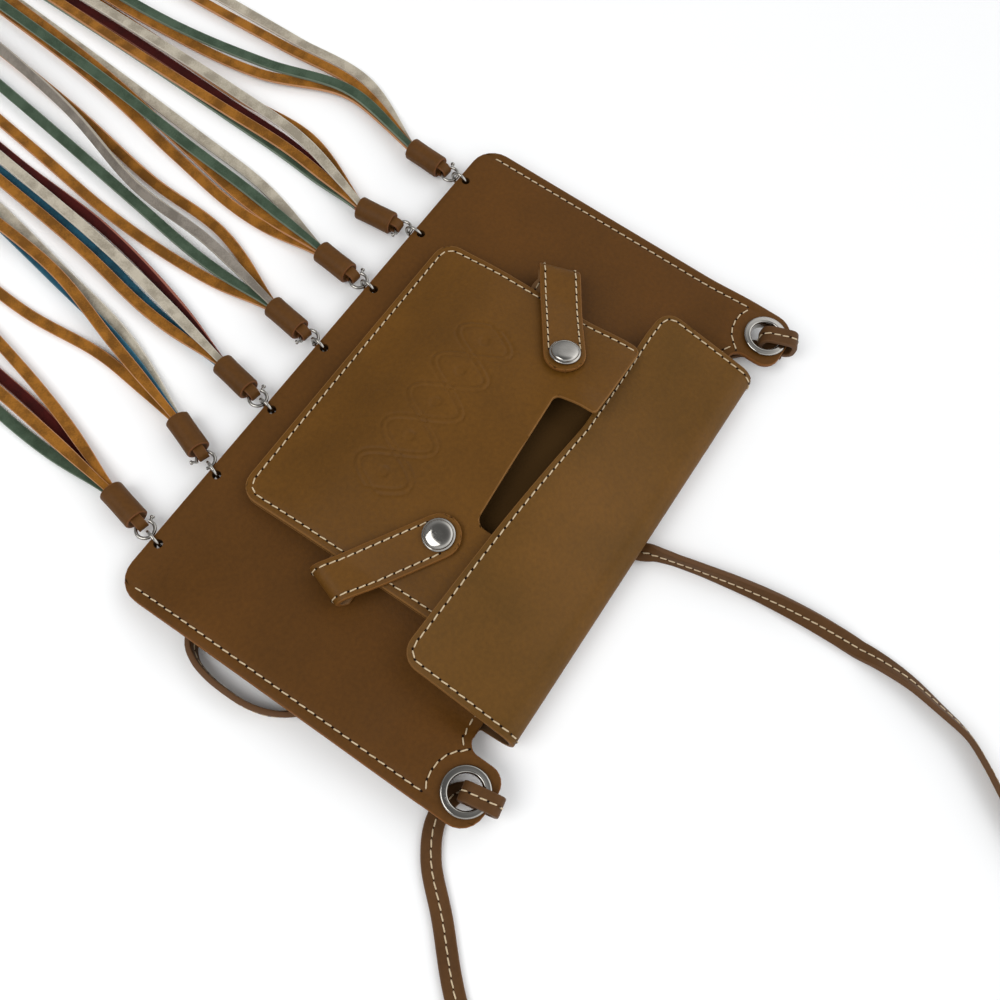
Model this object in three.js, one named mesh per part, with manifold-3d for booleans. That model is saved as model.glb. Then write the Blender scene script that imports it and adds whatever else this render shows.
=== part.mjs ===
// Small leather crossbody bag, lying on its back with the front up.
// Millimetres, +Z up. +Y runs from the fringe edge to the folded top edge, +X to the bag's left end.
// The origin is on the floor under the bag's middle, where the strap passes beneath the bag.
// Every leather piece is cut flat from a sheet and then formed, as the real pieces are.
import * as THREE from 'three';
import { mergeVertices } from 'three/addons/utils/BufferGeometryUtils.js';
import Module from 'manifold-3d';

const wasm = await Module();
wasm.setup();

// Driving dimensions
const GAP = 0.3;                 // room between pieces that lie on each other
const SEAM_GAP = 0.55;           // room for the lining between back and front panel
const BAG_HALF = 91;             // half width of the bag
const EDGE_Y = -58.3;            // fringe edge
const EAR_TOP = 59.3;            // tips of the two ears
const MOUTH_Y = 46;              // top edge of the front panel between the ears
const EAR_INNER = 72.6;          // inner side of an ear
const EAR_LIFT_LEFT = 3.0;       // how far the ears stand up from the rest of the back panel
const EAR_LIFT_RIGHT = 1.2;
const EAR_FLAT_X = 74;           // an ear is flat from here outwards
const EAR_FLAT_Y = 45;
const EAR_BEND_X = 8;            // widths over which the panel bends up to an ear
const EAR_BEND_Y = 19;
const SIDE_LIFT = 3.9;          // the left side stands up where the strap comes out on its edge
const SIDE_FROM_X = 54;
const SIDE_FROM_Y = -54;
const SIDE_RISE = 22;            // lengths over which it comes up and goes down
const SIDE_FALL = 30;
const PANEL_T = 1.6;             // panel leather
const PANEL_CORNER = 8;
const BODY_CROWN = 5.4;          // how far the front panel stands off the back at the mouth
const BODY_CROWN_RUN = 100;      // length over which it comes up from the fringe edge
const FLAP_HALF_LEFT = 64.2;     // reach of the flap's front edge to its two ends
const FLAP_HALF_RIGHT = 68.8;
const ROLL_HALF_LEFT = 66;       // and its reach where it leaves the back panel
const ROLL_HALF_RIGHT = 63.5;
const FLAP_CORNER = 6;
const FOLD_Y = 51;               // where the back panel starts to roll over
const FOLD_UP = 8.6;             // underside of the flap just past the roll, above that of the back panel
const FLAP_EDGE_LEFT = 17.8;     // front edge of the flap at its two corners
const FLAP_EDGE_RIGHT = 22.3;
const FLAP_PULL = 2.7;           // the pouch's raised lip holds the edge back here
const FLAP_PULL_X = -19;
const FLAP_LOW = 9.0;            // underside of the flap's front edge at its low end
const FLAP_RISE = 9.4;           // extra height where it crosses the pouch
const FLAP_CREST_X = 17;
const FLAP_CREST_HALF = 66;
const POUCH_HALF = 51;           // the removable pouch
const POUCH_T = 1.4;
const POUCH_BOTTOM = -47;
const POUCH_TOP = 24;
const POUCH_BACK_TOP_LEFT = 21.5; // top edge of the pouch's back sheet at its two ends
const POUCH_BACK_TOP_RIGHT = 19.5;
const POUCH_STAND = 2.0;         // room under the pouch for the snap straps
const POUCH_CROWN = 5.0;
const NOTCH = [[23.5, 14.7], [-21.3, 11.8]]; // lower corners of the thumb notch in the pouch's top edge
const SHOULDER_LIFT = 2.0;       // the shoulder that has come out over the flap
const GROMMET_X = 81.8;
const GROMMET_Y = 52.1;
const GROMMET_R = 6.8;           // flange
const BORE_R = 4.65;
const BARREL_R = 5.1;
const FLANGE_H = 0.9;
const FLANGE_ROUND = 0.5;        // rounding of the flange's inner and outer edge
const GROMMET_CLEAR = 9.5;       // the back panel ends this far below a grommet's middle
const SNAP_R = 4.7;
const SNAP_H = 2.1;
const SNAP_RIM_H = 0.6;
const SNAP_STRAP_W = 12.5;
const SNAP_STRAP_T = 1.5;
const SNAP_STRAP_REACH = 30;     // from the snap to the start of the fold
const SNAP_STRAP_ANCHOR = 12;    // where the lower leg ends, under the pouch
const SNAP_STRAP_ANGLE = THREE.MathUtils.degToRad(34);
const SNAP_STRAP_GAP = 0.4;      // room between the snap strap and the pouch's crowned front
const STRAP_W = 5.5;             // crossbody strap
const STRAP_T = 1.7;
const STRAP_STEPS = 76;
const STRAP_GAP = 0.35;          // room between the strap and the back panel that lies on it
const BACK_Z = STRAP_T + STRAP_GAP; // underside of the back panel
const LOOP_T = 1.6;              // end loops of the strap
const LOOP_INSIDE = 0.1;         // the leg in the bore, beside the bore's axis
const LOOP_REACH = 8.7;          // the leg outside the ear's tip, from the bore's axis
const TASSEL_PITCH = 25;
const TASSEL_COUNT = 7;
const TASSEL_LEANS = [3, -6, 6, 8, 10, 19, 12]; // how far each leans to the right, in degrees
const LINK_HOLE_Y = -55.75;      // punched holes along the fringe edge
const LINK_HOLE_R = 1.35;
const JUMP_R = 2.75;              // jump ring
const JUMP_WIRE = 0.5;
const JUMP_SET = 0.25;           // the wire hangs this far towards the bag in its hole
const CLASP_R = 2.65;            // spring ring
const CLASP_WIRE = 0.5;
const CLASP_GAP = 0.4;           // room between the two rings' wires
const KNOB_R = 0.5;              // knob of the spring ring's bolt
const KNOB_LENGTH = 2.0;
const KNOB_ANGLE = 2.0;
const NECK_W = 2.6;              // leather loop between spring ring and cap
const NECK_T = 0.9;
const NECK_INNER = 1.2;
const NECK_IN_CAP = 4.2;
const CAP_R = 3.6;               // leather cap of a tassel
const CAP_BORE = 2.9;
const CAP_EDGE = 0.4;
const CAP_LENGTH = 12;
const CAP_Z = 3.7;
const CAP_NECK = 1.2;            // bare neck between spring ring and cap
const HEAD_R = 2.6;              // the laces' bound head inside the cap
const HEAD_LENGTH = 6.6;
const LACE_W = 3.6;
const LACE_T = 1.2;
const LACE_STEPS = 7;
const LACE_LAYER = LACE_T + GAP; // laces lie on each other in layers
const LACE_LENGTH = 190;

const COLOURS = {
  leather: { color: 0x6d4a27, roughness: 0.55, metalness: 0 },
  sheath: { color: 0x5b3a22, roughness: 0.55, metalness: 0 },
  suede: { color: 0xa86a20, roughness: 0.9, metalness: 0 },
  nickel: { color: 0xc8c6c0, roughness: 0.22, metalness: 1 },
};

const bag = new THREE.Group();

function addNode(name, geometry, colour, parent = bag) {
  const mesh = new THREE.Mesh(geometry, new THREE.MeshStandardMaterial(COLOURS[colour]));
  mesh.name = name;
  parent.add(mesh);
  return mesh;
}

// Solids for joining and cutting. A creased one keeps the edges between its facets that lie in one plane
function toSolid(geometry, creased = false) {
  const plain = geometry.clone();
  plain.deleteAttribute('normal');
  plain.deleteAttribute('uv');
  const merged = mergeVertices(plain, 1e-4);
  const triVerts = new Uint32Array(merged.index.array);
  const faceID = creased ? Uint32Array.from({ length: triVerts.length / 3 }, (_, i) => i + 1) : undefined;
  const vertProperties = new Float32Array(merged.attributes.position.array);
  return new wasm.Manifold(new wasm.Mesh({ numProp: 3, vertProperties, triVerts, faceID }));
}

function toGeometry(solid) {
  const mesh = solid.getMesh();
  const geometry = new THREE.BufferGeometry();
  geometry.setAttribute('position', new THREE.BufferAttribute(new Float32Array(mesh.vertProperties), 3));
  geometry.setIndex(new THREE.BufferAttribute(new Uint32Array(mesh.triVerts), 1));
  return geometry;
}

const smooth = (t) => THREE.MathUtils.smoothstep(t, 0, 1);

// An outline through rows of [x, y, corner radius]
function roundedOutline(rows) {
  const outline = new THREE.Shape();
  rows.forEach(([x, y, radius], i) => {
    const corner = new THREE.Vector2(x, y);
    const before = new THREE.Vector2(...rows.at(i - 1)).sub(corner).setLength(radius).add(corner);
    const after = new THREE.Vector2(...rows[(i + 1) % rows.length]).sub(corner).setLength(radius).add(corner);
    if (i === 0) outline.moveTo(before.x, before.y);
    else outline.lineTo(before.x, before.y);
    outline.quadraticCurveTo(x, y, after.x, after.y);
  });
  return outline;
}

const mirrored = (rows, middle = []) =>
  [...rows, ...middle, ...rows.map(([x, y, r]) => [-x, y, r]).reverse()];

// A hole of eight sides whose flats clear the radius
function roundHole(x, y, radius) {
  return new THREE.Path().absarc(x, y, radius / Math.cos(Math.PI / 8), 0, 2 * Math.PI, true);
}

// A flat sheet with creases across and along it, cut to an outline
function cutSheet({ outline, thickness, across, along }) {
  const grid = new THREE.BoxGeometry(1, 1, 1, across.length - 1, along.length - 1, 1);
  const position = grid.attributes.position;
  for (let i = 0; i < position.count; i += 1) {
    const column = Math.round((position.getX(i) + 0.5) * (across.length - 1));
    const row = Math.round((position.getY(i) + 0.5) * (along.length - 1));
    position.setXYZ(i, across[column], along[row], (position.getZ(i) + 0.5) * thickness);
  }
  const cut = { depth: 3 * thickness, bevelEnabled: false, curveSegments: 4 };
  const blade = new THREE.ExtrudeGeometry(outline, cut);
  blade.translate(0, 0, -thickness);
  return toGeometry(toSolid(grid, true).intersect(toSolid(blade)));
}

// Moves every point of a flat sheet: x across it, y along it, w through its thickness
function formed(geometry, place) {
  const position = geometry.attributes.position;
  for (let i = 0; i < position.count; i += 1) {
    const p = place(position.getX(i), position.getY(i), position.getZ(i));
    position.setXYZ(i, p.x, p.y, p.z);
  }
  return geometry;
}

const spread = (from, to, steps) =>
  Array.from({ length: steps + 1 }, (_, i) => THREE.MathUtils.lerp(from, to, i / steps));

// A sheet that runs along a lower face, rolls over at foldAt and comes back along an upper face.
// Gives how far along and how high a point of the sheet lies, from its run v and depth w.
function folded(v, w, { start, foldAt, thickness, low, up }) {
  const run = foldAt - start;
  if (v <= run) return { r: start + v, z: low(start + v) + w };
  const inner = (up(foldAt) - low(foldAt) - thickness) / 2;
  const arc = Math.PI * (inner + thickness / 2);
  const turn = (v - run) / (inner + thickness / 2);
  const radius = inner + thickness - w;
  if (turn <= Math.PI) {
    const axis = low(foldAt) + thickness + inner;
    return { r: foldAt + radius * Math.sin(turn), z: axis - radius * Math.cos(turn) };
  }
  const r = foldAt - (v - run - arc);
  return { r, z: up(r) + thickness - w };
}

// Heights of the faces that lie on each other
function backLow(x, y) {
  const lift = x > 0 ? EAR_LIFT_LEFT : EAR_LIFT_RIGHT;
  const across = smooth(1 + (Math.abs(x) - EAR_FLAT_X) / EAR_BEND_X);
  const ear = lift * across * smooth(1 + (y - EAR_FLAT_Y) / EAR_BEND_Y);
  const outwards = smooth((x - SIDE_FROM_X) / (BAG_HALF - SIDE_FROM_X));
  const along = smooth((y - SIDE_FROM_Y) / SIDE_RISE) * smooth((EAR_FLAT_Y - y) / SIDE_FALL);
  return BACK_Z + ear + SIDE_LIFT * outwards * along;
}

function bodyLow(x, y) {
  const across = Math.max(0, 1 - (x / EAR_FLAT_X) ** 2) ** 2;
  const crown = BODY_CROWN * smooth((y - EDGE_Y) / BODY_CROWN_RUN) * across;
  return backLow(x, y) + PANEL_T + SEAM_GAP + crown;
}

function pouchBackLow(x, y) {
  return bodyLow(x, y) + PANEL_T + GAP + POUCH_STAND * smooth((y - POUCH_BOTTOM) / 25);
}

function pouchFrontLow(x, y) {
  const shoulder = SHOULDER_LIFT * smooth((-8 - x) / 14) * smooth((y - 4) / 16);
  const crown = POUCH_CROWN * Math.max(0, 1 - (x / POUCH_HALF) ** 2) * smooth((y - POUCH_BOTTOM) / 28);
  return pouchBackLow(x, y) + POUCH_T + GAP + shoulder + crown;
}

function flapLow(x, y) {
  const across = THREE.MathUtils.clamp((x - FLAP_CREST_X) / FLAP_CREST_HALF, -1, 1);
  const edge = FLAP_LOW + FLAP_RISE * Math.cos(across * Math.PI / 2) ** 2;
  return BACK_Z + THREE.MathUtils.lerp(FOLD_UP, edge, Math.sin(flapForward(y) * Math.PI / 2));
}

// 0 at the roll and 1 at the front edge
function flapForward(y) {
  return THREE.MathUtils.clamp((FOLD_Y - y) / (FOLD_Y - FLAP_EDGE_LEFT), 0, 1);
}

function flapPull(x) {
  const away = x - FLAP_PULL_X;
  return FLAP_PULL * Math.max(0, away < 0 ? 1 + away / 38 : 1 - away / 85);
}

// Creases that sheets share where they lie on each other, so that they follow each other
const PANEL_COLUMNS = [-92, -74, -66, -53, ...spread(-36, 36, 4), 53, 66, 74, 92];
const SIDE_UP_ROWS = spread(SIDE_FROM_Y, SIDE_FROM_Y + SIDE_RISE, 2);
const SIDE_DOWN_ROW = EAR_FLAT_Y - SIDE_FALL;
const EAR_ROWS = [26, 32, 38, EAR_FLAT_Y];
const POUCH_COLUMNS = spread(-POUCH_HALF - 1, POUCH_HALF + 1, 8);
const POUCH_ROWS = [POUCH_BOTTOM - 1, -39, -31, -22, -10, 4, 9.5, 15, POUCH_TOP + 1];

// Back panel and flap, one sheet that rolls over at the top
function backAndFlap() {
  const foldStart = FOLD_Y - EDGE_Y;
  const rollEnd = foldStart + Math.PI / 2 * FOLD_UP;
  const leftEnd = rollEnd + FOLD_Y - FLAP_EDGE_LEFT;
  const rightEnd = rollEnd + FOLD_Y - FLAP_EDGE_RIGHT;
  const earEnd = GROMMET_Y - GROMMET_CLEAR - EDGE_Y;
  const mouth = MOUTH_Y - EDGE_Y;
  const outline = roundedOutline(mirrored([
    [BAG_HALF, 0, PANEL_CORNER], [BAG_HALF, earEnd + 3, 2], [GROMMET_X, earEnd, 6], [EAR_INNER + 1, mouth, 3],
  ], [
    [ROLL_HALF_LEFT, mouth, 1], [FLAP_HALF_LEFT, leftEnd, FLAP_CORNER],
    [-FLAP_HALF_RIGHT, rightEnd, FLAP_CORNER], [-ROLL_HALF_RIGHT, mouth, 1],
  ]));
  for (let i = 0; i < TASSEL_COUNT; i += 1) {
    outline.holes.push(roundHole(tasselX(i), LINK_HOLE_Y - EDGE_Y, LINK_HOLE_R));
  }
  const sheet = cutSheet({
    outline, thickness: PANEL_T, across: PANEL_COLUMNS,
    along: [-1, ...[...SIDE_UP_ROWS, SIDE_DOWN_ROW, ...EAR_ROWS].map((y) => y - EDGE_Y),
      ...spread(foldStart, rollEnd, 5), ...spread(rollEnd, leftEnd + 1, 4).slice(1)],
  });
  return formed(sheet, (x, v, w) => {
    const { r, z } = folded(v, w, {
      start: EDGE_Y, foldAt: FOLD_Y, thickness: PANEL_T,
      low: (y) => backLow(x, y), up: (y) => flapLow(x, y),
    });
    return { x, y: v > rollEnd ? r + flapPull(x) * flapForward(r) : r, z };
  });
}

// Front panel with the two ears
function frontPanel() {
  const outline = roundedOutline(mirrored([
    [BAG_HALF, EDGE_Y, PANEL_CORNER], [BAG_HALF, EAR_TOP, 7], [EAR_INNER, EAR_TOP, 5],
    [EAR_INNER, MOUTH_Y, 3.5],
  ]));
  for (let i = 0; i < TASSEL_COUNT; i += 1) {
    outline.holes.push(roundHole(tasselX(i), LINK_HOLE_Y, LINK_HOLE_R));
  }
  for (const side of [-1, 1]) {
    outline.holes.push(roundHole(side * GROMMET_X, GROMMET_Y, BARREL_R + GAP));
  }
  const sheet = cutSheet({
    outline, thickness: PANEL_T, across: PANEL_COLUMNS,
    along: [EDGE_Y - 1, ...SIDE_UP_ROWS, -18, 4, SIDE_DOWN_ROW, ...EAR_ROWS, EAR_TOP + 1],
  });
  return formed(sheet, (x, y, w) => ({ x, y, z: bodyLow(x, y) + w }));
}

// Pouch: a back sheet, and a front sheet with a thumb notch
function pouchBack() {
  const outline = roundedOutline([
    [-POUCH_HALF, POUCH_BOTTOM, 6], [POUCH_HALF, POUCH_BOTTOM, 6],
    [POUCH_HALF, POUCH_BACK_TOP_LEFT, 2], [-POUCH_HALF, POUCH_BACK_TOP_RIGHT, 2],
  ]);
  const sheet = cutSheet({ outline, thickness: POUCH_T, across: POUCH_COLUMNS, along: POUCH_ROWS });
  return formed(sheet, (x, y, w) => ({ x, y, z: pouchBackLow(x, y) + w }));
}

function pouchFront() {
  const [[notchLeft, notchLow], [notchRight, notchHigh]] = NOTCH;
  const outline = roundedOutline([
    [-POUCH_HALF, POUCH_BOTTOM, 6], [POUCH_HALF, POUCH_BOTTOM, 6], [POUCH_HALF, POUCH_TOP, 3],
    [notchLeft, POUCH_TOP, 1.5], [notchLeft, notchLow, 3],
    [notchRight, notchHigh, 3], [notchRight, POUCH_TOP, 1.5], [-POUCH_HALF, POUCH_TOP, 3],
  ]);
  const sheet = cutSheet({ outline, thickness: POUCH_T, across: POUCH_COLUMNS, along: POUCH_ROWS });
  return formed(sheet, (x, y, w) => ({ x, y, z: pouchFrontLow(x, y) + w }));
}

// Snap strap: its lower leg is sewn down under the pouch, it folds back past the pouch's side
// and its round end is snapped on the pouch's front
function snapStrap(side, snapX, snapY) {
  const half = SNAP_STRAP_W / 2;
  const plan = (u, r) => ({
    x: side * (snapX + r * Math.cos(SNAP_STRAP_ANGLE) + u * Math.sin(SNAP_STRAP_ANGLE)),
    y: snapY - r * Math.sin(SNAP_STRAP_ANGLE) + u * Math.cos(SNAP_STRAP_ANGLE),
  });
  const low = (u, r) => {
    const p = plan(u, r);
    return bodyLow(p.x, p.y) + PANEL_T + GAP;
  };
  const up = (u, r) => {
    const p = plan(u, r);
    const x = THREE.MathUtils.clamp(p.x, -POUCH_HALF, POUCH_HALF);
    return pouchFrontLow(x, p.y) + POUCH_T + SNAP_STRAP_GAP;
  };
  const run = SNAP_STRAP_REACH - SNAP_STRAP_ANCHOR;
  const inner = (up(0, SNAP_STRAP_REACH) - low(0, SNAP_STRAP_REACH) - SNAP_STRAP_T) / 2;
  const roll = Math.PI * (inner + SNAP_STRAP_T / 2);
  const total = run + roll + SNAP_STRAP_REACH + half;
  const end = [[half, total, half], [-half, total, half]];
  const outline = roundedOutline([[-half, 0, 0.5], [half, 0, 0.5], ...end]);
  const sheet = cutSheet({
    outline, thickness: SNAP_STRAP_T,
    across: spread(-half - 1, half + 1, 2),
    along: [-1, ...spread(run, run + roll, 4), ...spread(run + roll, total + 1, 4).slice(1)],
  });
  return formed(sheet, (across, v, w) => {
    const u = -side * across;
    const { r, z } = folded(v, w, {
      start: SNAP_STRAP_ANCHOR, foldAt: SNAP_STRAP_REACH, thickness: SNAP_STRAP_T,
      low: (d) => low(u, d), up: (d) => up(u, d),
    });
    return { ...plan(u, r), z };
  });
}

// A body turned about Z from rows of [radius, height]
function turned(rows, sides) {
  const lathe = new THREE.LatheGeometry(rows.map(([r, z]) => new THREE.Vector2(r, z)), sides);
  return lathe.rotateX(Math.PI / 2);
}

function snapCap() {
  return turned([
    [0, 0], [SNAP_R - 0.5, 0], [SNAP_R, SNAP_RIM_H], [SNAP_R - 0.6, SNAP_H - 0.6],
    [SNAP_R * 0.6, SNAP_H - 0.15], [0, SNAP_H],
  ], 12);
}

function grommet() {
  const top = PANEL_T + GAP;
  return turned([
    [BORE_R, -GAP - FLANGE_ROUND], [BORE_R + FLANGE_ROUND, -GAP - FLANGE_H],
    [GROMMET_R - FLANGE_ROUND, -GAP - FLANGE_H], [GROMMET_R, -GAP], [BARREL_R, -GAP],
    [BARREL_R, top], [GROMMET_R, top], [GROMMET_R - FLANGE_ROUND, top + FLANGE_H],
    [BORE_R + FLANGE_ROUND, top + FLANGE_H], [BORE_R, top + FLANGE_ROUND], [BORE_R, -GAP - FLANGE_ROUND],
  ], 14);
}

// End loop of the strap: through the grommet, over the ear's tip and back underneath
function strapLoop(earLow) {
  const topZ = earLow + PANEL_T + GAP + FLANGE_H + GAP;
  const bottomZ = BACK_Z + LOOP_T;
  const ring = (grow, radius) => roundedOutline([
    [LOOP_INSIDE - grow, bottomZ - grow, radius], [LOOP_REACH + grow, bottomZ - grow, radius],
    [LOOP_REACH + grow, topZ + grow, radius], [LOOP_INSIDE - grow, topZ + grow, radius],
  ]);
  const outline = ring(LOOP_T, LOOP_T + 0.8);
  outline.holes.push(ring(0, 0.8));
  const band = new THREE.ExtrudeGeometry(outline, { depth: STRAP_W, bevelEnabled: false, curveSegments: 4 });
  return band.translate(0, 0, -STRAP_W / 2).rotateX(Math.PI / 2);
}

// Crossbody strap, as it lies: columns are x, y and how far it has rolled on its edge in degrees
const STRAP_ROUTE = [
  [-84.5, 58.5, 0], [-78, 48, 0], [-64, 37, 0], [-38, 20, 0], [0, 0, 0], [38, -16, 0], [60, -26, 0],
  [74, -31.5, 18], [84, -33, 34], [91.2, -31.3, 74], [94.3, -27.6, 88], [95.8, -22, 88], [96.2, -15, 88],
  [95.8, -8.5, 88], [94, -2.4, 88], [90.8, 2.2, 74], [84, 6.6, 34], [74, 12, 18], [58, 21, 0], [30, 34, 0],
  [11, 41, 0], [2, 46, 0], [-0.4, 51, -1], [-1.2, 53.6, -3], [-2.2, 56.8, -26], [-3.6, 60.5, -70],
  [-5.2, 66, -82], [-7.4, 75, -79], [-10.4, 90.2, -62], [-12.2, 104.4, -40], [-13, 116.5, -20],
  [-13.4, 128.5, 19], [-12.8, 138.6, 37], [-10.8, 148.5, 50], [-8.3, 158.7, 60], [-3.8, 166.6, 61],
  [0.2, 172.3, 60], [7, 183, 45], [18, 199, 20], [37, 223, 0], [58, 250, 0], [84, 271, 0], [117, 281, 0],
  [150, 276, 0], [178, 257, 0], [194, 228, 0], [194, 195, 0], [181, 163, 0], [162, 132, 0], [142, 104, 0],
  [123.4, 78, 0], [110, 64.5, 0], [100, 54, 0], [91, 49.5, 0], [82.5, 50.5, 0], [80, 58.5, 0],
];

function crossbodyStrap() {
  const points = STRAP_ROUTE.map(([x, y]) => new THREE.Vector3(x, y, 0));
  const curve = new THREE.CatmullRomCurve3(points, false, 'centripetal');
  const sheet = new THREE.BoxGeometry(STRAP_W, 1, STRAP_T, 1, STRAP_STEPS, 1);
  const up = new THREE.Vector3(0, 0, 1);
  return formed(sheet, (u, v, w) => {
    const t = v + 0.5;
    const at = curve.getPoint(t);
    const side = new THREE.Vector3().crossVectors(curve.getTangent(t), up).normalize();
    const row = Math.min(Math.floor(t * (STRAP_ROUTE.length - 1) + 1e-6), STRAP_ROUTE.length - 2);
    const [rollBefore, rollAfter] = [STRAP_ROUTE[row][2], STRAP_ROUTE[row + 1][2]];
    const turn = THREE.MathUtils.lerp(rollBefore, rollAfter, t * (STRAP_ROUTE.length - 1) - row);
    const roll = THREE.MathUtils.degToRad(turn);
    const halfHigh = STRAP_W / 2 * Math.abs(Math.sin(roll)) + STRAP_T / 2 * Math.cos(roll);
    const out = u * Math.cos(roll) - w * Math.sin(roll);
    return {
      x: at.x + side.x * out, y: at.y + side.y * out,
      z: halfHigh + u * Math.sin(roll) + w * Math.cos(roll),
    };
  });
}

// Tassels: suede laces in a leather cap, on a neck loop, a spring ring and a jump ring.
// One list of laces for each tassel. Columns of a lace: x beside the cap at 30, 60, 100 and 190 mm
// from it, and the layer in which it lies
const TASSELS = [
  [[-16.5, -16, -15, -15, 0], [-12, -10.5, -9, -9, 1], [-8, 0, 6, 5, 2], [-7.5, 4, 8.5, 8, 1]],
  [[-11, -10.5, -12.5, -14, 0], [-7.5, -9.5, -10.5, -10, 2], [-2.5, -3, -3.5, -6.5, 1],
    [-1, -2.5, -4, -5.5, 0], [-5, -6.5, -8, -8.5, 0]],
  [[-12, -15, -18.5, -25, 0], [-6.5, -9, -13, -19, 2], [-3.5, -8.5, -15.5, -24, 1], [0, -4.5, -12, -19.5, 0]],
  [[-15.5, -17.5, -24, -34, 0], [-9.5, -11.5, -22, -34, 2], [-4, -8, -13.5, -25, 1], [0.5, 0, -5, -16, 0]],
  [[-14, -20, -23, -34, 0], [-10.5, -15.5, -20, -30, 2], [-5, -10, -14.5, -23, 1], [-7, -13, -17, -26, 0]],
  [[-20, -26, -33, -43, 0], [-17, -22.5, -29, -39, 1], [-15.5, -24, -28, -38, 2], [-11, -9, -12, -22, 0]],
  [[-15, -22, -29, -39, 1], [-11.5, -15, -22, -32, 0], [-8, -11, -17, -26, 2], [-4, -7, -12, -20, 0]],
];
const LACE_STATIONS = [30, 60, 100, LACE_LENGTH];
const JUMP_Y = LINK_HOLE_Y + JUMP_SET - JUMP_R;
const CLASP_Y = JUMP_Y - (JUMP_R - JUMP_WIRE - CLASP_WIRE - CLASP_GAP) - CLASP_R;
const CLASP_FAR_Y = CLASP_Y - CLASP_R;
const CAP_START = CLASP_FAR_Y - CAP_NECK;
const CAP_END = CAP_START - CAP_LENGTH;
const JUMP_Z = BACK_Z + PANEL_T + SEAM_GAP / 2;

function tasselX(i) {
  return (i - (TASSEL_COUNT - 1) / 2) * TASSEL_PITCH;
}

// Turns a straight tassel's piece about its hole in the bag's edge
function leaned(geometry, i) {
  const turn = -THREE.MathUtils.degToRad(TASSEL_LEANS[i]);
  const x = tasselX(i);
  return geometry.translate(-x, -LINK_HOLE_Y, 0).rotateZ(turn).translate(x, LINK_HOLE_Y, 0);
}

function jumpRing(x) {
  const ring = new THREE.TorusGeometry(JUMP_R, JUMP_WIRE, 5, 9);
  return ring.rotateY(Math.PI / 2).translate(x, JUMP_Y, JUMP_Z);
}

// Spring ring with the little knob of its bolt. It leans down from the jump ring to the cap
function springRing(x, knobAngle) {
  const ring = toSolid(new THREE.TorusGeometry(CLASP_R, CLASP_WIRE, 5, 10));
  const knob = new THREE.CylinderGeometry(KNOB_R, KNOB_R, KNOB_LENGTH, 6);
  knob.translate(0, CLASP_R + KNOB_LENGTH / 2, 0).rotateZ(knobAngle);
  const tilt = Math.atan2(JUMP_Z - CAP_Z, 2 * CLASP_R);
  const clasp = toGeometry(ring.add(toSolid(knob)));
  return clasp.rotateX(tilt).translate(x, CLASP_Y, (JUMP_Z + CAP_Z) / 2);
}

// Hairpin of leather round the spring ring, with both legs in the cap
function neckLoop(x) {
  const outer = NECK_INNER + NECK_T;
  const legs = CAP_NECK + NECK_IN_CAP;
  const hairpin = new THREE.Shape();
  hairpin.moveTo(-legs, -outer);
  hairpin.lineTo(0, -outer);
  hairpin.absarc(0, 0, outer, -Math.PI / 2, Math.PI / 2, false);
  hairpin.lineTo(-legs, outer);
  hairpin.lineTo(-legs, NECK_INNER);
  hairpin.lineTo(0, NECK_INNER);
  hairpin.absarc(0, 0, NECK_INNER, Math.PI / 2, -Math.PI / 2, true);
  hairpin.lineTo(-legs, -NECK_INNER);
  hairpin.closePath();
  const strip = new THREE.ExtrudeGeometry(hairpin, { depth: NECK_W, bevelEnabled: false, curveSegments: 4 });
  strip.translate(0, 0, -NECK_W / 2).rotateX(Math.PI / 2).rotateZ(Math.PI / 2);
  return strip.translate(x, CLASP_FAR_Y, CAP_Z);
}

function cap(x) {
  const sleeve = turned([
    [CAP_BORE, 0], [CAP_R - CAP_EDGE, 0], [CAP_R, CAP_EDGE], [CAP_R, CAP_LENGTH - CAP_EDGE],
    [CAP_R - CAP_EDGE, CAP_LENGTH], [CAP_BORE, CAP_LENGTH], [CAP_BORE, 0],
  ], 10);
  return sleeve.rotateX(-Math.PI / 2).translate(x, CAP_END, CAP_Z);
}

// One lace, from the head in the cap down to its layer
function lace(i, stations, layer, beside) {
  const x = tasselX(i);
  const turn = -THREE.MathUtils.degToRad(TASSEL_LEANS[i]);
  const start = new THREE.Vector3(beside, CAP_END + 2 * GAP - LINK_HOLE_Y, 0);
  start.applyAxisAngle(new THREE.Vector3(0, 0, 1), turn).add(new THREE.Vector3(x, LINK_HOLE_Y, 0));
  const plan = [start, ...stations.map((dx, k) => new THREE.Vector3(x + dx, CAP_END - LACE_STATIONS[k], 0))];
  const curve = new THREE.CatmullRomCurve3(plan, false, 'centripetal');
  const strip = new THREE.BoxGeometry(LACE_W, 1, LACE_T, 1, LACE_STEPS, 1);
  return formed(strip, (u, v, w) => {
    const t = (0.5 - v) ** 1.5;
    const at = curve.getPoint(t);
    const ahead = curve.getTangent(t);
    const drop = smooth(t / 0.2);
    const wide = u * THREE.MathUtils.lerp(0.6, 1, drop);
    const inCap = CAP_Z + (layer - 1) * 0.9;
    const level = THREE.MathUtils.lerp(inCap, LACE_T / 2 + LACE_LAYER * layer, drop);
    return { x: at.x - ahead.y * wide, y: at.y + ahead.x * wide, z: level + w };
  });
}

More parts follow.
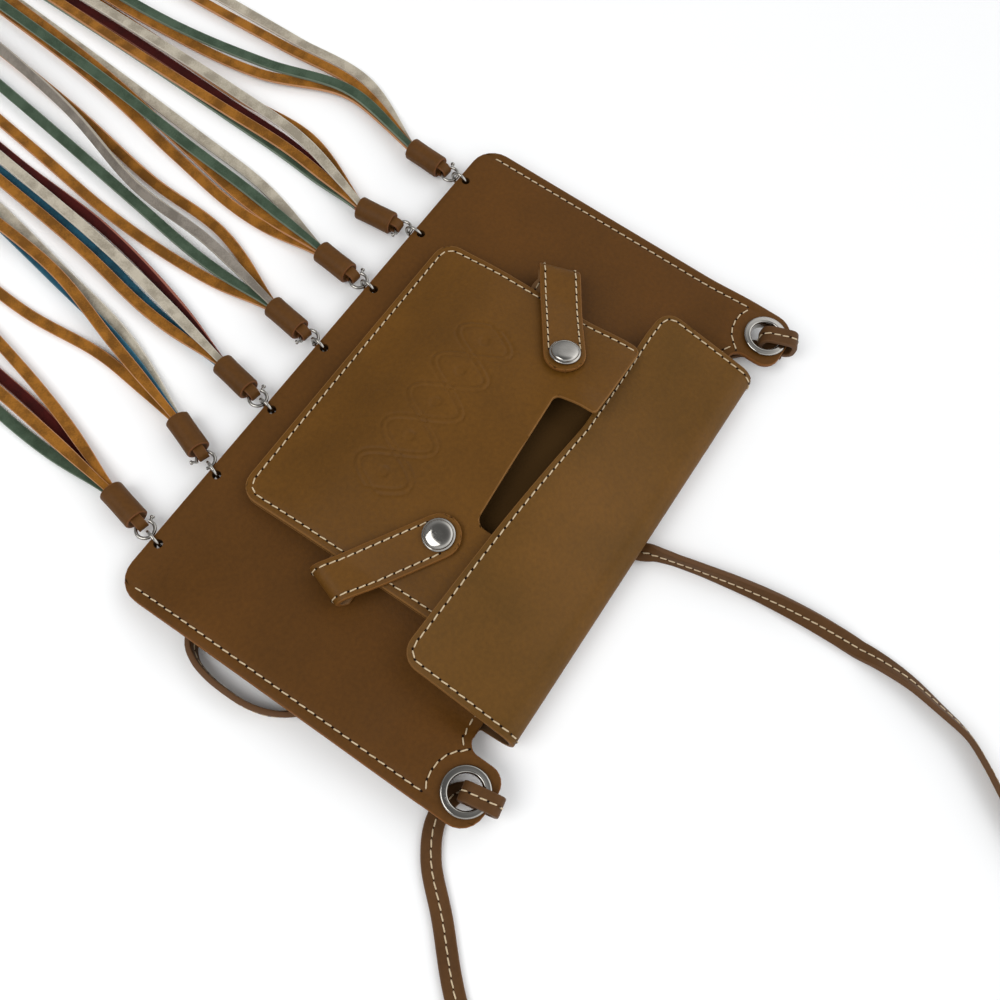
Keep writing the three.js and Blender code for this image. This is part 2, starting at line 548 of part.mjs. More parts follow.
// Laces fused to the head that the cap grips
function laces(i, rows) {
  const head = new THREE.CylinderGeometry(HEAD_R, HEAD_R, HEAD_LENGTH, 8);
  head.translate(tasselX(i), CAP_END + GAP + HEAD_LENGTH / 2, CAP_Z);
  let bundle = toSolid(leaned(head, i));
  rows.forEach((row, k) => {
    const beside = (k - (rows.length - 1) / 2) * GAP;
    bundle = bundle.add(toSolid(lace(i, row.slice(0, -1), row.at(-1), beside)));
  });
  return toGeometry(bundle);
}

addNode('back_and_flap', backAndFlap(), 'leather');
addNode('front_panel', frontPanel(), 'leather');
addNode('pouch_back', pouchBack(), 'leather');
addNode('pouch_front', pouchFront(), 'leather');
addNode('crossbody_strap', crossbodyStrap(), 'leather');

// Columns: end of the bag, its side, its snap's distance from the middle and height, and how far its
// strap loop is turned
for (const [end, side, snapX, snapY, loopTurn] of [['left', 1, 32, 8.6, 10], ['right', -1, 34.4, 6.6, 22]]) {
  addNode(`snap_strap_${end}`, snapStrap(side, snapX, snapY), 'leather');
  const snapLow = (dx, dy) => pouchFrontLow(side * snapX + dx, snapY + dy)
    + POUCH_T + SNAP_STRAP_GAP + SNAP_STRAP_T + GAP;
  const slopeX = (snapLow(1, 0) - snapLow(-1, 0)) / 2;
  const slopeY = (snapLow(0, 1) - snapLow(0, -1)) / 2;
  const facing = new THREE.Vector3(-slopeX, -slopeY, 1).normalize();
  const snap = addNode(`snap_${end}`, snapCap(), 'nickel');
  snap.quaternion.setFromUnitVectors(new THREE.Vector3(0, 0, 1), facing);
  snap.position.set(side * snapX, snapY, snapLow(0, 0));
  const earLow = bodyLow(side * GROMMET_X, GROMMET_Y);
  addNode(`grommet_${end}`, grommet(), 'nickel').position.set(side * GROMMET_X, GROMMET_Y, earLow);
  const loop = addNode(`strap_loop_${end}`, strapLoop(earLow), 'leather');
  loop.rotation.z = THREE.MathUtils.degToRad(90 + loopTurn);
  loop.position.set(side * GROMMET_X, GROMMET_Y, 0);
}

TASSELS.forEach((rows, i) => {
  const x = tasselX(i);
  const knobAngle = i % 2 === 0 ? KNOB_ANGLE : -KNOB_ANGLE;
  addNode(`tassel_${i + 1}_laces`, laces(i, rows), 'suede');
  addNode(`tassel_${i + 1}_cap`, leaned(cap(x), i), 'sheath');
  addNode(`tassel_${i + 1}_neck`, leaned(neckLoop(x), i), 'leather');
  addNode(`tassel_${i + 1}_spring_ring`, leaned(springRing(x, knobAngle), i), 'nickel');
  addNode(`tassel_${i + 1}_jump_ring`, leaned(jumpRing(x), i), 'nickel');
});

export default bag;
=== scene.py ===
import math

import bmesh
import bpy
import numpy as np
from mathutils import Matrix, Vector


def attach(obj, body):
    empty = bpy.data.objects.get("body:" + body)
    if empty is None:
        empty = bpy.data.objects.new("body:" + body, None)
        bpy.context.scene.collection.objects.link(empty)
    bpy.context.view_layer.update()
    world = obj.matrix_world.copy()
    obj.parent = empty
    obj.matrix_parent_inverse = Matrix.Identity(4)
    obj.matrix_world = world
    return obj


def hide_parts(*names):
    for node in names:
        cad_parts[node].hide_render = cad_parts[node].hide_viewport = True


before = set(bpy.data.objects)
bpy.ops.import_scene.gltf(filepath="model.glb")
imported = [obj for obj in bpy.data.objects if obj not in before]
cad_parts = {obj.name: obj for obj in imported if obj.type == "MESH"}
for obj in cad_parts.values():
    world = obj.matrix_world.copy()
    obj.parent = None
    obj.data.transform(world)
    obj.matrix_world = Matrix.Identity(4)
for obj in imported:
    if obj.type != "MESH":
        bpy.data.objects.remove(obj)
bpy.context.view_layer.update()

bpy.ops.object.select_all(action="DESELECT")

# Table, light and camera
# The bag lies on a white table top. A broad soft lamp stands to one side, and the room's ceiling and walls
# give the rest, most from the fold's side. The camera looks down from above the folded edge.
LAMP_AT = Vector((0.75, -0.45, 1.1))
bpy.ops.object.camera_add()
camera = bpy.context.object
camera.matrix_world = Matrix((
    (-0.55629, -0.76998, 0.31252, 0.0983552),
    (0.82848, -0.54308, 0.13667, 0.0532757),
    (0.06449, 0.33495, 0.94003, 0.2723053),
    (0, 0, 0, 1)))
camera.data.sensor_width = 36
camera.data.lens = 35.516
camera.data.clip_start = 0.01
bpy.context.scene.camera = camera

bpy.ops.object.light_add(type="AREA", location=LAMP_AT)
lamp = bpy.context.object
lamp.rotation_euler = LAMP_AT.to_track_quat("Z", "Y").to_euler()
lamp.data.size = 0.9
lamp.data.energy = 9
walls = bpy.data.worlds.new("pale_walls")
bpy.context.scene.world = walls
walls.use_nodes = True
room = walls.node_tree
bpy.context.scene.view_settings.view_transform = "Standard"


def paint(code):
    """Linear colour of a hex sRGB code"""
    parts = [int(code[i:i + 2], 16) / 255 for i in (1, 3, 5)]
    return [p / 12.92 if p <= 0.04045 else ((p + 0.055) / 1.055) ** 2.4 for p in parts] + [1.0]


def finish_of(name):
    """A new material, its nodes and its shader"""
    material = bpy.data.materials.new(name)
    material.use_nodes = True
    return material, material.node_tree, material.node_tree.nodes["Principled BSDF"]


def fill(tree, node, values, links):
    """Gives a node its socket values and links"""
    for key, value in values.items():
        node.inputs[key].default_value = value
    for key, source in links.items():
        tree.links.new(source, node.inputs[key])


def put(tree, kind, values, links, **settings):
    """Adds a node with its settings, socket values and links"""
    node = tree.nodes.new(kind)
    for key, value in settings.items():
        setattr(node, key, value)
    fill(tree, node, values, links)
    return node


def mix(tree, factor, a, b):
    """Mixes two colours by a factor. Each is a hex code or a socket"""
    pair = {"A": a, "B": b}
    codes = {key: paint(colour) for key, colour in pair.items() if isinstance(colour, str)}
    links = {key: colour for key, colour in pair.items() if key not in codes}
    return put(tree, "ShaderNodeMix", codes, {"Factor": factor, **links}, data_type="RGBA").outputs["Result"]


def span(tree, value, low, high, to_low=0.0, to_high=1.0):
    """Maps one range of a value to another"""
    limits = {"From Min": low, "From Max": high, "To Min": to_low, "To Max": to_high}
    return put(tree, "ShaderNodeMapRange", limits, {"Value": value}).outputs["Result"]


def place_on(tree):
    """A point's place on the piece in metres"""
    return put(tree, "ShaderNodeTexCoord", {}, {}).outputs["Object"]


def noise(tree, size, place, detail=2.0):
    """Uneven patches about as large as the size in metres"""
    values = {"Scale": 1 / size, "Detail": detail}
    return put(tree, "ShaderNodeTexNoise", values, {"Vector": place}).outputs["Fac"]


# The ceiling is bright, dimmer straight overhead, and the walls are dim, most on the fringe's side
heading = put(room, "ShaderNodeTexCoord", {}, {}).outputs["Generated"]
ways = put(room, "ShaderNodeSeparateXYZ", {}, {"Vector": heading}).outputs
glow = put(room, "ShaderNodeFloatCurve", {}, {"Value": ways["Z"]})
for spot, location in zip(glow.mapping.curves[0].points, ((0.0, 0.4), (1.0, 0.2))):
    spot.location = location
for spot in ((0.4, 0.85), (0.72, 0.95), (0.9, 0.4)):
    glow.mapping.curves[0].points.new(*spot)
glow.mapping.update()
turned = span(room, ways["Y"], -0.5, 0.4, 0.4, 1.55)
ended = span(room, ways["X"], -0.6, 0.6, 1.45, 0.75)
sides = put(room, "ShaderNodeMath", {}, {0: turned, 1: ended}, operation="MULTIPLY")
level = put(room, "ShaderNodeMath", {}, {0: glow.outputs["Value"], 1: sides.outputs["Value"]},
            operation="MULTIPLY")
fill(room, room.nodes["Background"], {"Color": (0.97, 0.98, 1.0, 1)}, {"Strength": level.outputs["Value"]})

# White laminate: even and matt, with only a breath of variation
laminate, tree, shader = finish_of("white_laminate")
tone = mix(tree, noise(tree, 0.125, place_on(tree)), "#fafaf9", "#fcfcfb")
fill(tree, shader, {"Roughness": 0.7}, {"Base Color": tone})
bpy.ops.mesh.primitive_plane_add(size=30)
table = bpy.context.object
table.name = "table_top"
table.data.materials.append(laminate)

# Crossbody strap
# A narrow flat strap of folded and edge-painted leather, sewn down its middle with one row of thread.
# It leaves one ear, passes under the bag, swings out in a wide loop and comes back to the other ear.
STRAP_W = 5.5
STRAP_T = 1.7
STRAP_EDGE = 0.45
STRAP_GROOVE = 0.18
STRAP_PITCH = 2.58
# Places the strap passes: x, y and how far it is turned on its edge, in degrees
STRAP_ROUTE = [
    (-84.5, 58.5, 0), (-78, 48, 0), (-64, 37, 0), (-38, 20, 0), (0, 0, 0), (38, -16, 0), (60, -26, 0),
    (74, -31.5, 18), (84, -33, 34), (91.2, -31.3, 74), (94.3, -27.6, 88), (95.8, -22, 88),
    (96.2, -15, 88), (95.8, -8.5, 88), (94, -2.4, 88), (90.8, 2.2, 74), (84, 6.6, 34), (74, 12, 18),
    (58, 21, 0), (30, 34, 0), (11, 41, 0), (2, 46, 0), (-0.4, 51, -1), (-1.2, 53.6, -3),
    (-2.2, 56.8, -26), (-3.6, 60.5, -70), (-5.2, 66, -82), (-7.4, 75, -79), (-10.4, 90.2, -62),
    (-12.2, 104.4, -40), (-13, 116.5, -20), (-13.4, 128.5, 19), (-12.8, 138.6, 37), (-10.8, 148.5, 50),
    (-8.3, 158.7, 60), (-3.8, 166.6, 61), (0.2, 172.3, 60), (7, 183, 45), (18, 199, 20), (37, 223, 0),
    (58, 250, 0), (84, 271, 0), (117, 281, 0), (150, 276, 0), (178, 257, 0), (194, 228, 0),
    (194, 195, 0), (181, 163, 0), (162, 132, 0), (142, 104, 0), (123.4, 78, 0), (110, 64.5, 0),
    (100, 54, 0), (91, 49.5, 0), (82.5, 50.5, 0), (80, 58.5, 0),
]
STRIP_INSET = 0.3
STRIP_CREASE = 0.5
MM = 0.001
UP = Vector((0, 0, 1))


def bump(tree, height, strength, depth):
    """A fine relief of the given depth in metres"""
    values = {"Strength": strength, "Distance": depth}
    return put(tree, "ShaderNodeBump", values, {"Height": height}).outputs["Normal"]


def marked(tree, name):
    """A mark that the piece's own points carry, from 0 to 1"""
    return put(tree, "ShaderNodeAttribute", {}, {}, attribute_name=name).outputs["Fac"]


def leather(name, grain_side, mottle, edge, flesh_and_shade):
    """Smooth aniline-dyed leather: cloudy colour, fine pores, a soft sheen, painted edges, fuzzy back"""
    material, tree, shader = finish_of(name)
    place = place_on(tree)
    # Clouds of dye about 25 mm across, and a fine fleck of about 1.2 mm
    cloud = noise(tree, 0.025, place, 4.0)
    fleck = noise(tree, 0.0012, place, 3.0)
    toned = mix(tree, span(tree, cloud, 0.3, 0.7), grain_side, mottle)
    flecked = span(tree, fleck, 0.25, 0.75, 0.9, 1.1)
    shaded = put(tree, "ShaderNodeVectorMath", {}, {0: toned, 1: flecked}, operation="MULTIPLY")
    # The back's colour marks the leather's fuzzy back; on the bag's panels it is made dark as painted shade
    # for their insides.
    back = marked(tree, "flesh_and_shade")
    backed = mix(tree, back, shaded.outputs["Vector"], flesh_and_shade)
    edged = mix(tree, marked(tree, "cut_edge"), backed, edge)
    # The grain side is satin and its back is matt
    satin = span(tree, fleck, 0.0, 1.0, 0.5, 0.62)
    rough = put(tree, "ShaderNodeMix", {"B": 0.9}, {"Factor": back, "A": satin})
    # Pores about 0.8 mm apart, coarser than the real ones so that they show
    pores = put(tree, "ShaderNodeTexVoronoi", {"Scale": 1 / 0.0008}, {"Vector": place})
    relief = put(tree, "ShaderNodeMath", {1: 0.6}, {0: pores.outputs["Distance"], 2: fleck},
                 operation="MULTIPLY_ADD")
    fill(tree, shader, {"IOR": 1.5, "Specular IOR Level": 0.15},
         {"Base Color": edged, "Roughness": rough.outputs["Result"],
          "Normal": bump(tree, relief.outputs["Value"], 0.2, 0.0003)})
    return material


def choose(made, kind, test):
    """Selects, in edit mode, only the vertices, edges or faces that pass the test"""
    bpy.context.tool_settings.mesh_select_mode = (kind == "verts", kind == "edges", kind == "faces")
    bpy.ops.mesh.select_all(action="DESELECT")
    shape = bmesh.from_edit_mesh(made.data)
    for part in getattr(shape, kind):
        part.select_set(test(part))
    bmesh.update_edit_mesh(made.data)


def runs_along(edge):
    return abs((edge.verts[1].co - edge.verts[0].co).normalized().y) > 0.99


def crease(at, way):
    """Cuts the whole mesh straight through, in edit mode, at a distance along one axis"""
    bpy.ops.mesh.select_all(action="SELECT")
    bpy.ops.mesh.bisect(plane_co=[at * k for k in way], plane_no=way)


def cut_strip(name, width, length, thickness, steps, edge, groove=0.0, open_ends=False):
    """A straight flat strip in millimetres: rounded long edges, a pressed stitch line, creases along it"""
    bpy.ops.mesh.primitive_cube_add(size=1)
    made = bpy.context.object
    made.name = name
    bpy.ops.object.mode_set(mode="EDIT")
    bpy.ops.mesh.select_all(action="SELECT")
    bpy.ops.transform.resize(value=(width, length, thickness))
    if open_ends:
        choose(made, "faces", lambda face: abs(face.normal.y) > 0.9)
        bpy.ops.mesh.delete(type="ONLY_FACE")
    choose(made, "edges", runs_along)
    bpy.ops.mesh.bevel(offset=edge, segments=2, affect="EDGES")
    flat = width / 2 - edge - STRIP_INSET
    for x in [-flat, flat] + ([-STRIP_CREASE, 0, STRIP_CREASE] if groove else []):
        crease(x, (1, 0, 0))
    if groove:
        choose(made, "verts", lambda v: abs(v.co.x) < 0.01)
        bpy.ops.transform.resize(value=(1, 1, 1 - 2 * groove / thickness))
    for cuts in steps:
        choose(made, "edges", runs_along)
        bpy.ops.mesh.subdivide(number_cuts=cuts)
    bpy.ops.object.mode_set(mode="OBJECT")
    rim = made.data.attributes.new("cut_edge", "FLOAT", "POINT")
    inner = width / 2 - edge / 2
    for vertex in made.data.vertices:
        rim.data[vertex.index].value = 1.0 if abs(vertex.co.x) > inner else 0.0
    return made


def lay(made, length, station):
    """Lays a flat strip along a route. A station is a place in millimetres, and the strip's side and up"""
    known = {}
    for vertex in made.data.vertices:
        run = round(vertex.co.y + length / 2, 4)
        if run not in known:
            known[run] = station(run)
        at, side, up = known[run]
        vertex.co = (at + side * vertex.co.x + up * vertex.co.z) * MM


def along_line(line):
    """A polyline's points and how far along it each one lies"""
    line = np.array([tuple(p) for p in line])
    return line, np.concatenate([[0], np.cumsum(np.linalg.norm(np.diff(line, axis=0), axis=1))])


def point_at(run, gone, line):
    """The place on a polyline at a run"""
    return np.array([np.interp(run, gone, column) for column in line.T])


def smooth_line(points, spacing):
    """Evenly spaced points on a smooth curve through the given ones, and each one's row number"""
    points = np.array(points, float)
    ends = np.vstack([2 * points[0] - points[1], points, 2 * points[-1] - points[-2]])
    line = []
    rows = []
    share = np.linspace(0, 1, 41)[:-1]
    for i in range(len(points) - 1):
        a, b, c, d = ends[i:i + 4]
        ab, bc, cd = (max(np.linalg.norm(q - p), 1e-6) ** 0.5 for p, q in ((a, b), (b, c), (c, d)))
        leave = ((b - a) / ab - (c - a) / (ab + bc) + (c - b) / bc) * bc
        reach = ((c - b) / bc - (d - b) / (bc + cd) + (d - c) / cd) * bc
        for s in share:
            turn = (2 * b - 2 * c + leave + reach) * s ** 3 + (3 * c - 3 * b - 2 * leave - reach) * s ** 2
            line.append(turn + leave * s + b)
            rows.append(i + s)
    line, gone = along_line(line + [points[-1]])
    rows.append(len(points) - 1.0)
    even = np.linspace(0, gone[-1], max(2, round(gone[-1] / spacing) + 1))
    return point_at(even, gone, line).T, np.interp(even, gone, rows)


def dress(made, slot, nodes, *finishes):
    """Gives a finished piece its materials, and its place in the model"""
    for finish in finishes:
        made.data.materials.append(finish)
    bpy.ops.object.select_all(action="DESELECT")
    made.select_set(True)
    bpy.context.view_layer.objects.active = made
    bpy.ops.object.shade_smooth_by_angle(angle=math.radians(38))
    made.select_set(False)
    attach(made, "root")
    if nodes:
        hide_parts(*nodes)


def rolled(run, gone, line, rolls):
    """Side and upper face of a strip on the floor, and the sine and cosine of its turn on its edge"""
    before, after = (Vector(point_at(run + d, gone, line)) for d in (-1.5, 1.5))
    side = (after - before).cross(UP).normalized()
    roll = math.radians(np.interp(run, gone, rolls))
    sine, cosine = math.sin(roll), math.cos(roll)
    return side * cosine + UP * sine, UP * cosine - side * sine, sine, cosine


strap_line, strap_rows = smooth_line([(x, y, 0) for x, y, roll in STRAP_ROUTE], 1.0)
strap_line, strap_gone = along_line(strap_line)
strap_length = float(strap_gone[-1])
strap_rolls = np.interp(strap_rows, range(len(STRAP_ROUTE)), [roll for x, y, roll in STRAP_ROUTE])


def strap_station(run):
    """Where the strap lies at a run: its middle, its side and its upper face"""
    at = Vector(point_at(run, strap_gone, strap_line))
    side, face, sine, cosine = rolled(run, strap_gone, strap_line, strap_rolls)
    at.z = STRAP_W / 2 * abs(sine) + STRAP_T / 2 * cosine
    return at, side, face


strap = cut_strip("crossbody_strap", STRAP_W, strap_length, STRAP_T, (99, 7), STRAP_EDGE, STRAP_GROOVE)
lay(strap, strap_length, strap_station)
strap_leather = leather("strap_leather", "#583a1c", "#4c3116", "#5c4028", "#583a1c")
dress(strap, "leather", ["crossbody_strap"], strap_leather)
strap_path = [strap_station(run)[0] * MM for run in np.linspace(0, strap_length, 220)]

# Stitches
# Waxed cream thread, one plump slanted stitch between each two needle holes, pulled into the leather.
# One stitch is modelled with the hole beside it and copied along every row.
THREAD_R = 0.21
STITCH_LONG = 2.3
STITCH_RISE = 0.1
STITCH_LEAN = 5.0
HOLE_RISE = 0.06
bpy.ops.mesh.primitive_cylinder_add(vertices=6, radius=THREAD_R, depth=STITCH_LONG, end_fill_type="NGON")
one_stitch = bpy.context.object
bpy.ops.object.mode_set(mode="EDIT")
bpy.ops.mesh.select_all(action="SELECT")
bpy.ops.transform.rotate(value=math.pi / 2, orient_axis="Y", center_override=(0, 0, 0))
for x in (-0.8, 0.8):
    crease(x, (1, 0, 0))
# Each end is drawn thin and pulled down into its needle hole
choose(one_stitch, "verts", lambda v: abs(v.co.x) > 1.0)
bpy.ops.transform.resize(value=(1, 0.45, 0.45))
bpy.ops.transform.translate(value=(0, 0, -0.22))
bpy.ops.object.mode_set(mode="OBJECT")
stitch_points = np.array([v.co for v in one_stitch.data.vertices])
stitch_faces = [list(face.vertices) for face in one_stitch.data.polygons]
bpy.data.objects.remove(one_stitch)
bpy.ops.mesh.primitive_circle_add(vertices=8, radius=0.5, fill_type="NGON")
one_hole = bpy.context.object
bpy.ops.object.mode_set(mode="EDIT")
bpy.ops.mesh.select_all(action="SELECT")
bpy.ops.transform.resize(value=(0.9, 0.6, 1))
bpy.ops.mesh.inset(thickness=0.1)
bpy.ops.transform.translate(value=(0, 0, -0.02))
bpy.ops.object.mode_set(mode="OBJECT")
hole_points = np.array([v.co for v in one_hole.data.vertices])
hole_faces = [list(face.vertices) for face in one_hole.data.polygons]
bpy.data.objects.remove(one_hole)

# Waxed polyester thread: pale and nearly matt; its colour runs at random between a shaded and a lit tone,
# partly painted shade and highlight, partly the twist's uneven tone
thread, tree, shader = finish_of("waxed_thread")
twist = noise(tree, 0.0009, place_on(tree))
fill(tree, shader, {"Roughness": 0.6},
     {"Base Color": mix(tree, twist, "#b39c78", "#d8c5a4"), "Normal": bump(tree, twist, 0.3, 0.0002)})

# Needle hole: a pinched slot in the leather, coloured near black as a painted shadow in the hole
needle_hole_shadow, tree, shader = finish_of("needle_hole_shadow")
pinch = noise(tree, 0.002, place_on(tree))
fill(tree, shader, {"Roughness": 0.9, "Specular IOR Level": 0.1},
     {"Base Color": mix(tree, pinch, "#120a05", "#20130a")})


def sew(name, rows, pitch):
    """One piece with the stitches of several rows. A row is a list of points, directions and ups"""
    points = []
    faces = []
    kinds = []
    turn = math.radians(STITCH_LEAN)
    for row in rows:
        for at, ahead, up in row:
            ahead = ahead.normalized()
            up = (up - ahead * up.dot(ahead)).normalized()
            side = up.cross(ahead)
            along = ahead * math.cos(turn) + side * math.sin(turn)
            beside = up.cross(along)
            for shape, shape_faces, kind, shift in ((stitch_points, stitch_faces, 0, 0.0),
                                                    (hole_points, hole_faces, 1, pitch / 2)):
                first = len(points)
                x_way, y_way = (along, beside) if kind == 0 else (ahead, side)
                rise = STITCH_RISE if kind == 0 else HOLE_RISE
                for x, y, z in shape:
                    points.append((at + ahead * shift + x_way * x + y_way * y + up * (z + rise)) * MM)
                faces += [[first + i for i in face] for face in shape_faces]
                kinds += [kind] * len(shape_faces)
    mesh = bpy.data.meshes.new(name)
    mesh.from_pydata(points, [], faces)
    mesh.polygons.foreach_set("material_index", kinds)
    made = bpy.data.objects.new(name, mesh)
    bpy.context.collection.objects.link(made)
    dress(made, "leather", [], thread, needle_hole_shadow)


def strip_row(station, length, thickness, margin, reach, face=1):
    """Stations of the row on one face of a strip, which is pressed in along its middle"""
    row = []
    for run in np.arange(margin, length - margin, STRAP_PITCH):
        at, side, up = station(run)
        ahead = station(run + reach)[0] - station(run - reach)[0]
        row.append((at + up * face * (thickness / 2 - STRAP_GROOVE), ahead, up * face))
    return row


sew("crossbody_strap_stitches",
    [strip_row(strap_station, strap_length, STRAP_T, 2.0, 0.5, face) for face in (1, -1)], STRAP_PITCH)

# Bag body
# Two panels of leather sewn together along their sides. The back one rolls over at the top and comes
# forward as the flap, and the front one has an ear for a grommet at each end.
BACK_Z = 2.05
PANEL_T = 1.6
SEAM_GAP = 0.55
EDGE_Y = -58.3
BAG_HALF = 91
FOLD_Y = 51
FLAP_HALF_LEFT = 64.2
FLAP_HALF_RIGHT = 68.8
ROLL_HALF_LEFT = 66
ROLL_HALF_RIGHT = 63.5
FLAP_EDGE_LEFT = 17.8
FLAP_EDGE_RIGHT = 22.3
GROMMET_X = 81.8
GROMMET_Y = 52.1
LINK_HOLE_Y = -55.75
LINK_HOLE_R = 1.35
GROMMET_HOLE_R = 5.3
PANEL_PITCH = 2.8
TASSEL_X = [25.0 * i for i in range(-3, 4)]
MOUTH_Y = 46
EAR_TOP = 59.3
EAR_INNER = 72.6
EAR_CLEAR = 9.5
EDGE_SOFT = 0.42
GROOVE_DEEP = 0.2
GROOVE_HALF = 0.5
# How the panels lift off the floor: at the ears, along the left side, at the mouth and in the flap
EAR_LIFT_LEFT, EAR_LIFT_RIGHT = 3.0, 1.2
EAR_FLAT_X, EAR_BEND_X = 74, 8
EAR_FLAT_Y, EAR_BEND_Y = 45, 19
SIDE_LIFT = 3.9
SIDE_FROM_X, SIDE_FROM_Y = 54, -54
SIDE_RISE, SIDE_FALL = 22, 30
BODY_CROWN, BODY_CROWN_RUN = 5.4, 100
FOLD_UP = 8.6
FLAP_LOW, FLAP_RISE = 9.0, 9.4
FLAP_CREST_X, FLAP_CREST_HALF = 17, 66
FLAP_PULL, FLAP_PULL_X = 2.7, -19
FLAP_PULL_RIGHT, FLAP_PULL_LEFT = 38, 85


def ease(t):
    """A smooth step from 0 to 1"""
    t = min(1.0, max(0.0, t))
    return t * t * (3 - 2 * t)


def back_low(x, y):
    """Underside of the back panel"""
    lift = EAR_LIFT_LEFT if x > 0 else EAR_LIFT_RIGHT
    ear = lift * ease(1 + (abs(x) - EAR_FLAT_X) / EAR_BEND_X) * ease(1 + (y - EAR_FLAT_Y) / EAR_BEND_Y)
    side = SIDE_LIFT * ease((x - SIDE_FROM_X) / (BAG_HALF - SIDE_FROM_X))
    return BACK_Z + ear + side * ease((y - SIDE_FROM_Y) / SIDE_RISE) * ease((EAR_FLAT_Y - y) / SIDE_FALL)


def body_low(x, y):
    """Underside of the front panel, which stands off the back one towards the mouth"""
    crown = BODY_CROWN * ease((y - EDGE_Y) / BODY_CROWN_RUN) * max(0.0, 1 - (x / EAR_FLAT_X) ** 2) ** 2
    return back_low(x, y) + PANEL_T + SEAM_GAP + crown


def flap_forward(y):
    """How far the flap has come forward, from 0 at the fold to 1 at its front edge"""
    return min(1.0, max(0.0, (FOLD_Y - y) / (FOLD_Y - FLAP_EDGE_LEFT)))


def flap_low(x, y):
    """Underside of the flap, highest where it crosses the pouch"""
    off = min(1, max(-1, (x - FLAP_CREST_X) / FLAP_CREST_HALF))
    crest = FLAP_LOW + FLAP_RISE * math.cos(off * math.pi / 2) ** 2
    return BACK_Z + FOLD_UP + (crest - FOLD_UP) * math.sin(flap_forward(y) * math.pi / 2)


def flap_pull(x):
    """How far the flap's front edge is drawn back where the pouch holds it"""
    away = x - FLAP_PULL_X
    return FLAP_PULL * max(0.0, 1 + away / FLAP_PULL_RIGHT if away < 0 else 1 - away / FLAP_PULL_LEFT)


def folded(run, depth, start, fold_at, thickness, low, up):
    """How far along and how high a point lies on a sheet that rolls over and comes back on top"""
    straight = fold_at - start
    if run <= straight:
        return start + run, low(start + run) + depth
    inner = (up(fold_at) - low(fold_at) - thickness) / 2
    turn = (run - straight) / (inner + thickness / 2)
    radius = inner + thickness - depth
    if turn <= math.pi:
        return (fold_at + radius * math.sin(turn),
                low(fold_at) + thickness + inner - radius * math.cos(turn))
    along = fold_at - (run - straight - math.pi * (inner + thickness / 2))
    return along, up(along) + thickness - depth


def cut_panel(name, corners, thickness, across, along, holes=()):
    """A flat panel in millimetres, creased both ways, soft-edged. Corners and holes are x, y and radius"""
    bpy.ops.mesh.primitive_circle_add(vertices=len(corners), fill_type="NGON")
    made = bpy.context.object
    made.name = name
    for vertex, (x, y, radius) in zip(made.data.vertices, corners):
        vertex.co = (x, y, 0)
    bpy.ops.object.mode_set(mode="EDIT")
    for x, y, radius in corners:
        choose(made, "verts", lambda v: math.hypot(v.co.x - x, v.co.y - y) < 0.01)
        bpy.ops.mesh.bevel(offset=radius, segments=6, affect="VERTICES")
    bpy.context.tool_settings.mesh_select_mode = (False, False, True)
    for places, way in ((across, (1, 0, 0)), (along, (0, 1, 0))):
        for at in places:
            crease(at, way)
    bpy.ops.mesh.select_all(action="SELECT")
    if bmesh.from_edit_mesh(made.data).faces[:][0].normal.z < 0:
        bpy.ops.mesh.flip_normals()
    bpy.ops.object.mode_set(mode="OBJECT")
    wall = made.modifiers.new("wall", "SOLIDIFY")
    wall.thickness = thickness
    wall.offset = 1
    bpy.ops.object.modifier_apply(modifier="wall")
    bpy.ops.object.mode_set(mode="EDIT")
    bpy.context.tool_settings.mesh_select_mode = (False, True, False)
    bpy.ops.mesh.select_all(action="DESELECT")
    bpy.ops.mesh.edges_select_sharp(sharpness=math.radians(60))
    bpy.ops.mesh.bevel(offset=EDGE_SOFT, segments=2, affect="EDGES")
    bpy.ops.object.mode_set(mode="OBJECT")
    for x, y, radius in holes:
        bpy.ops.mesh.primitive_cylinder_add(vertices=24, radius=radius, depth=9, location=(x, y, 0))
        punch = bpy.context.object
        hole = made.modifiers.new("hole", "BOOLEAN")
        hole.object = punch
        bpy.context.view_layer.objects.active = made
        bpy.ops.object.modifier_apply(modifier="hole")
        bpy.data.objects.remove(punch)
    return made


def form(made, thickness, place, grain_up=True):
    """Marks a flat panel's edges, its fuzzy back and a painted crease shadow at the back of each edge, then
    moves each point to where it lies on the bag
    """
    mesh = made.data
    rim = mesh.attributes.new("cut_edge", "FLOAT", "POINT")
    flesh_and_shade = mesh.attributes.new("flesh_and_shade", "FLOAT", "POINT")
    depths = [v.co.z for v in mesh.vertices]
    # The back's mark runs 0.2 mm up each cut edge, so its dark colour is a painted shadow in the crease
    # between two layers, and the painted edge starts above it.
    backs = [abs(w - (0 if grain_up else thickness)) for w in depths]
    marks = [1.0 if 0.2 < back < thickness - 0.02 else 0.0 for back in backs]
    rim.data.foreach_set("value", marks)
    flesh_and_shade.data.foreach_set("value", [float(back < 0.2) for back in backs])
    for vertex in mesh.vertices:
        vertex.co = Vector(place(*vertex.co)) * MM


def steps(start, end, size):
    return list(np.linspace(start, end, max(2, round((end - start) / size) + 1)))


def pressed(places):
    """Creases for a stitch row that is pressed into the leather"""
    return [p + d for p in places for d in (-GROOVE_HALF, 0, GROOVE_HALF)]


def groove(distance):
    """How deep the leather is pressed in at a distance from a stitch row"""
    return GROOVE_DEEP * max(0.0, 1 - abs(distance) / GROOVE_HALF)


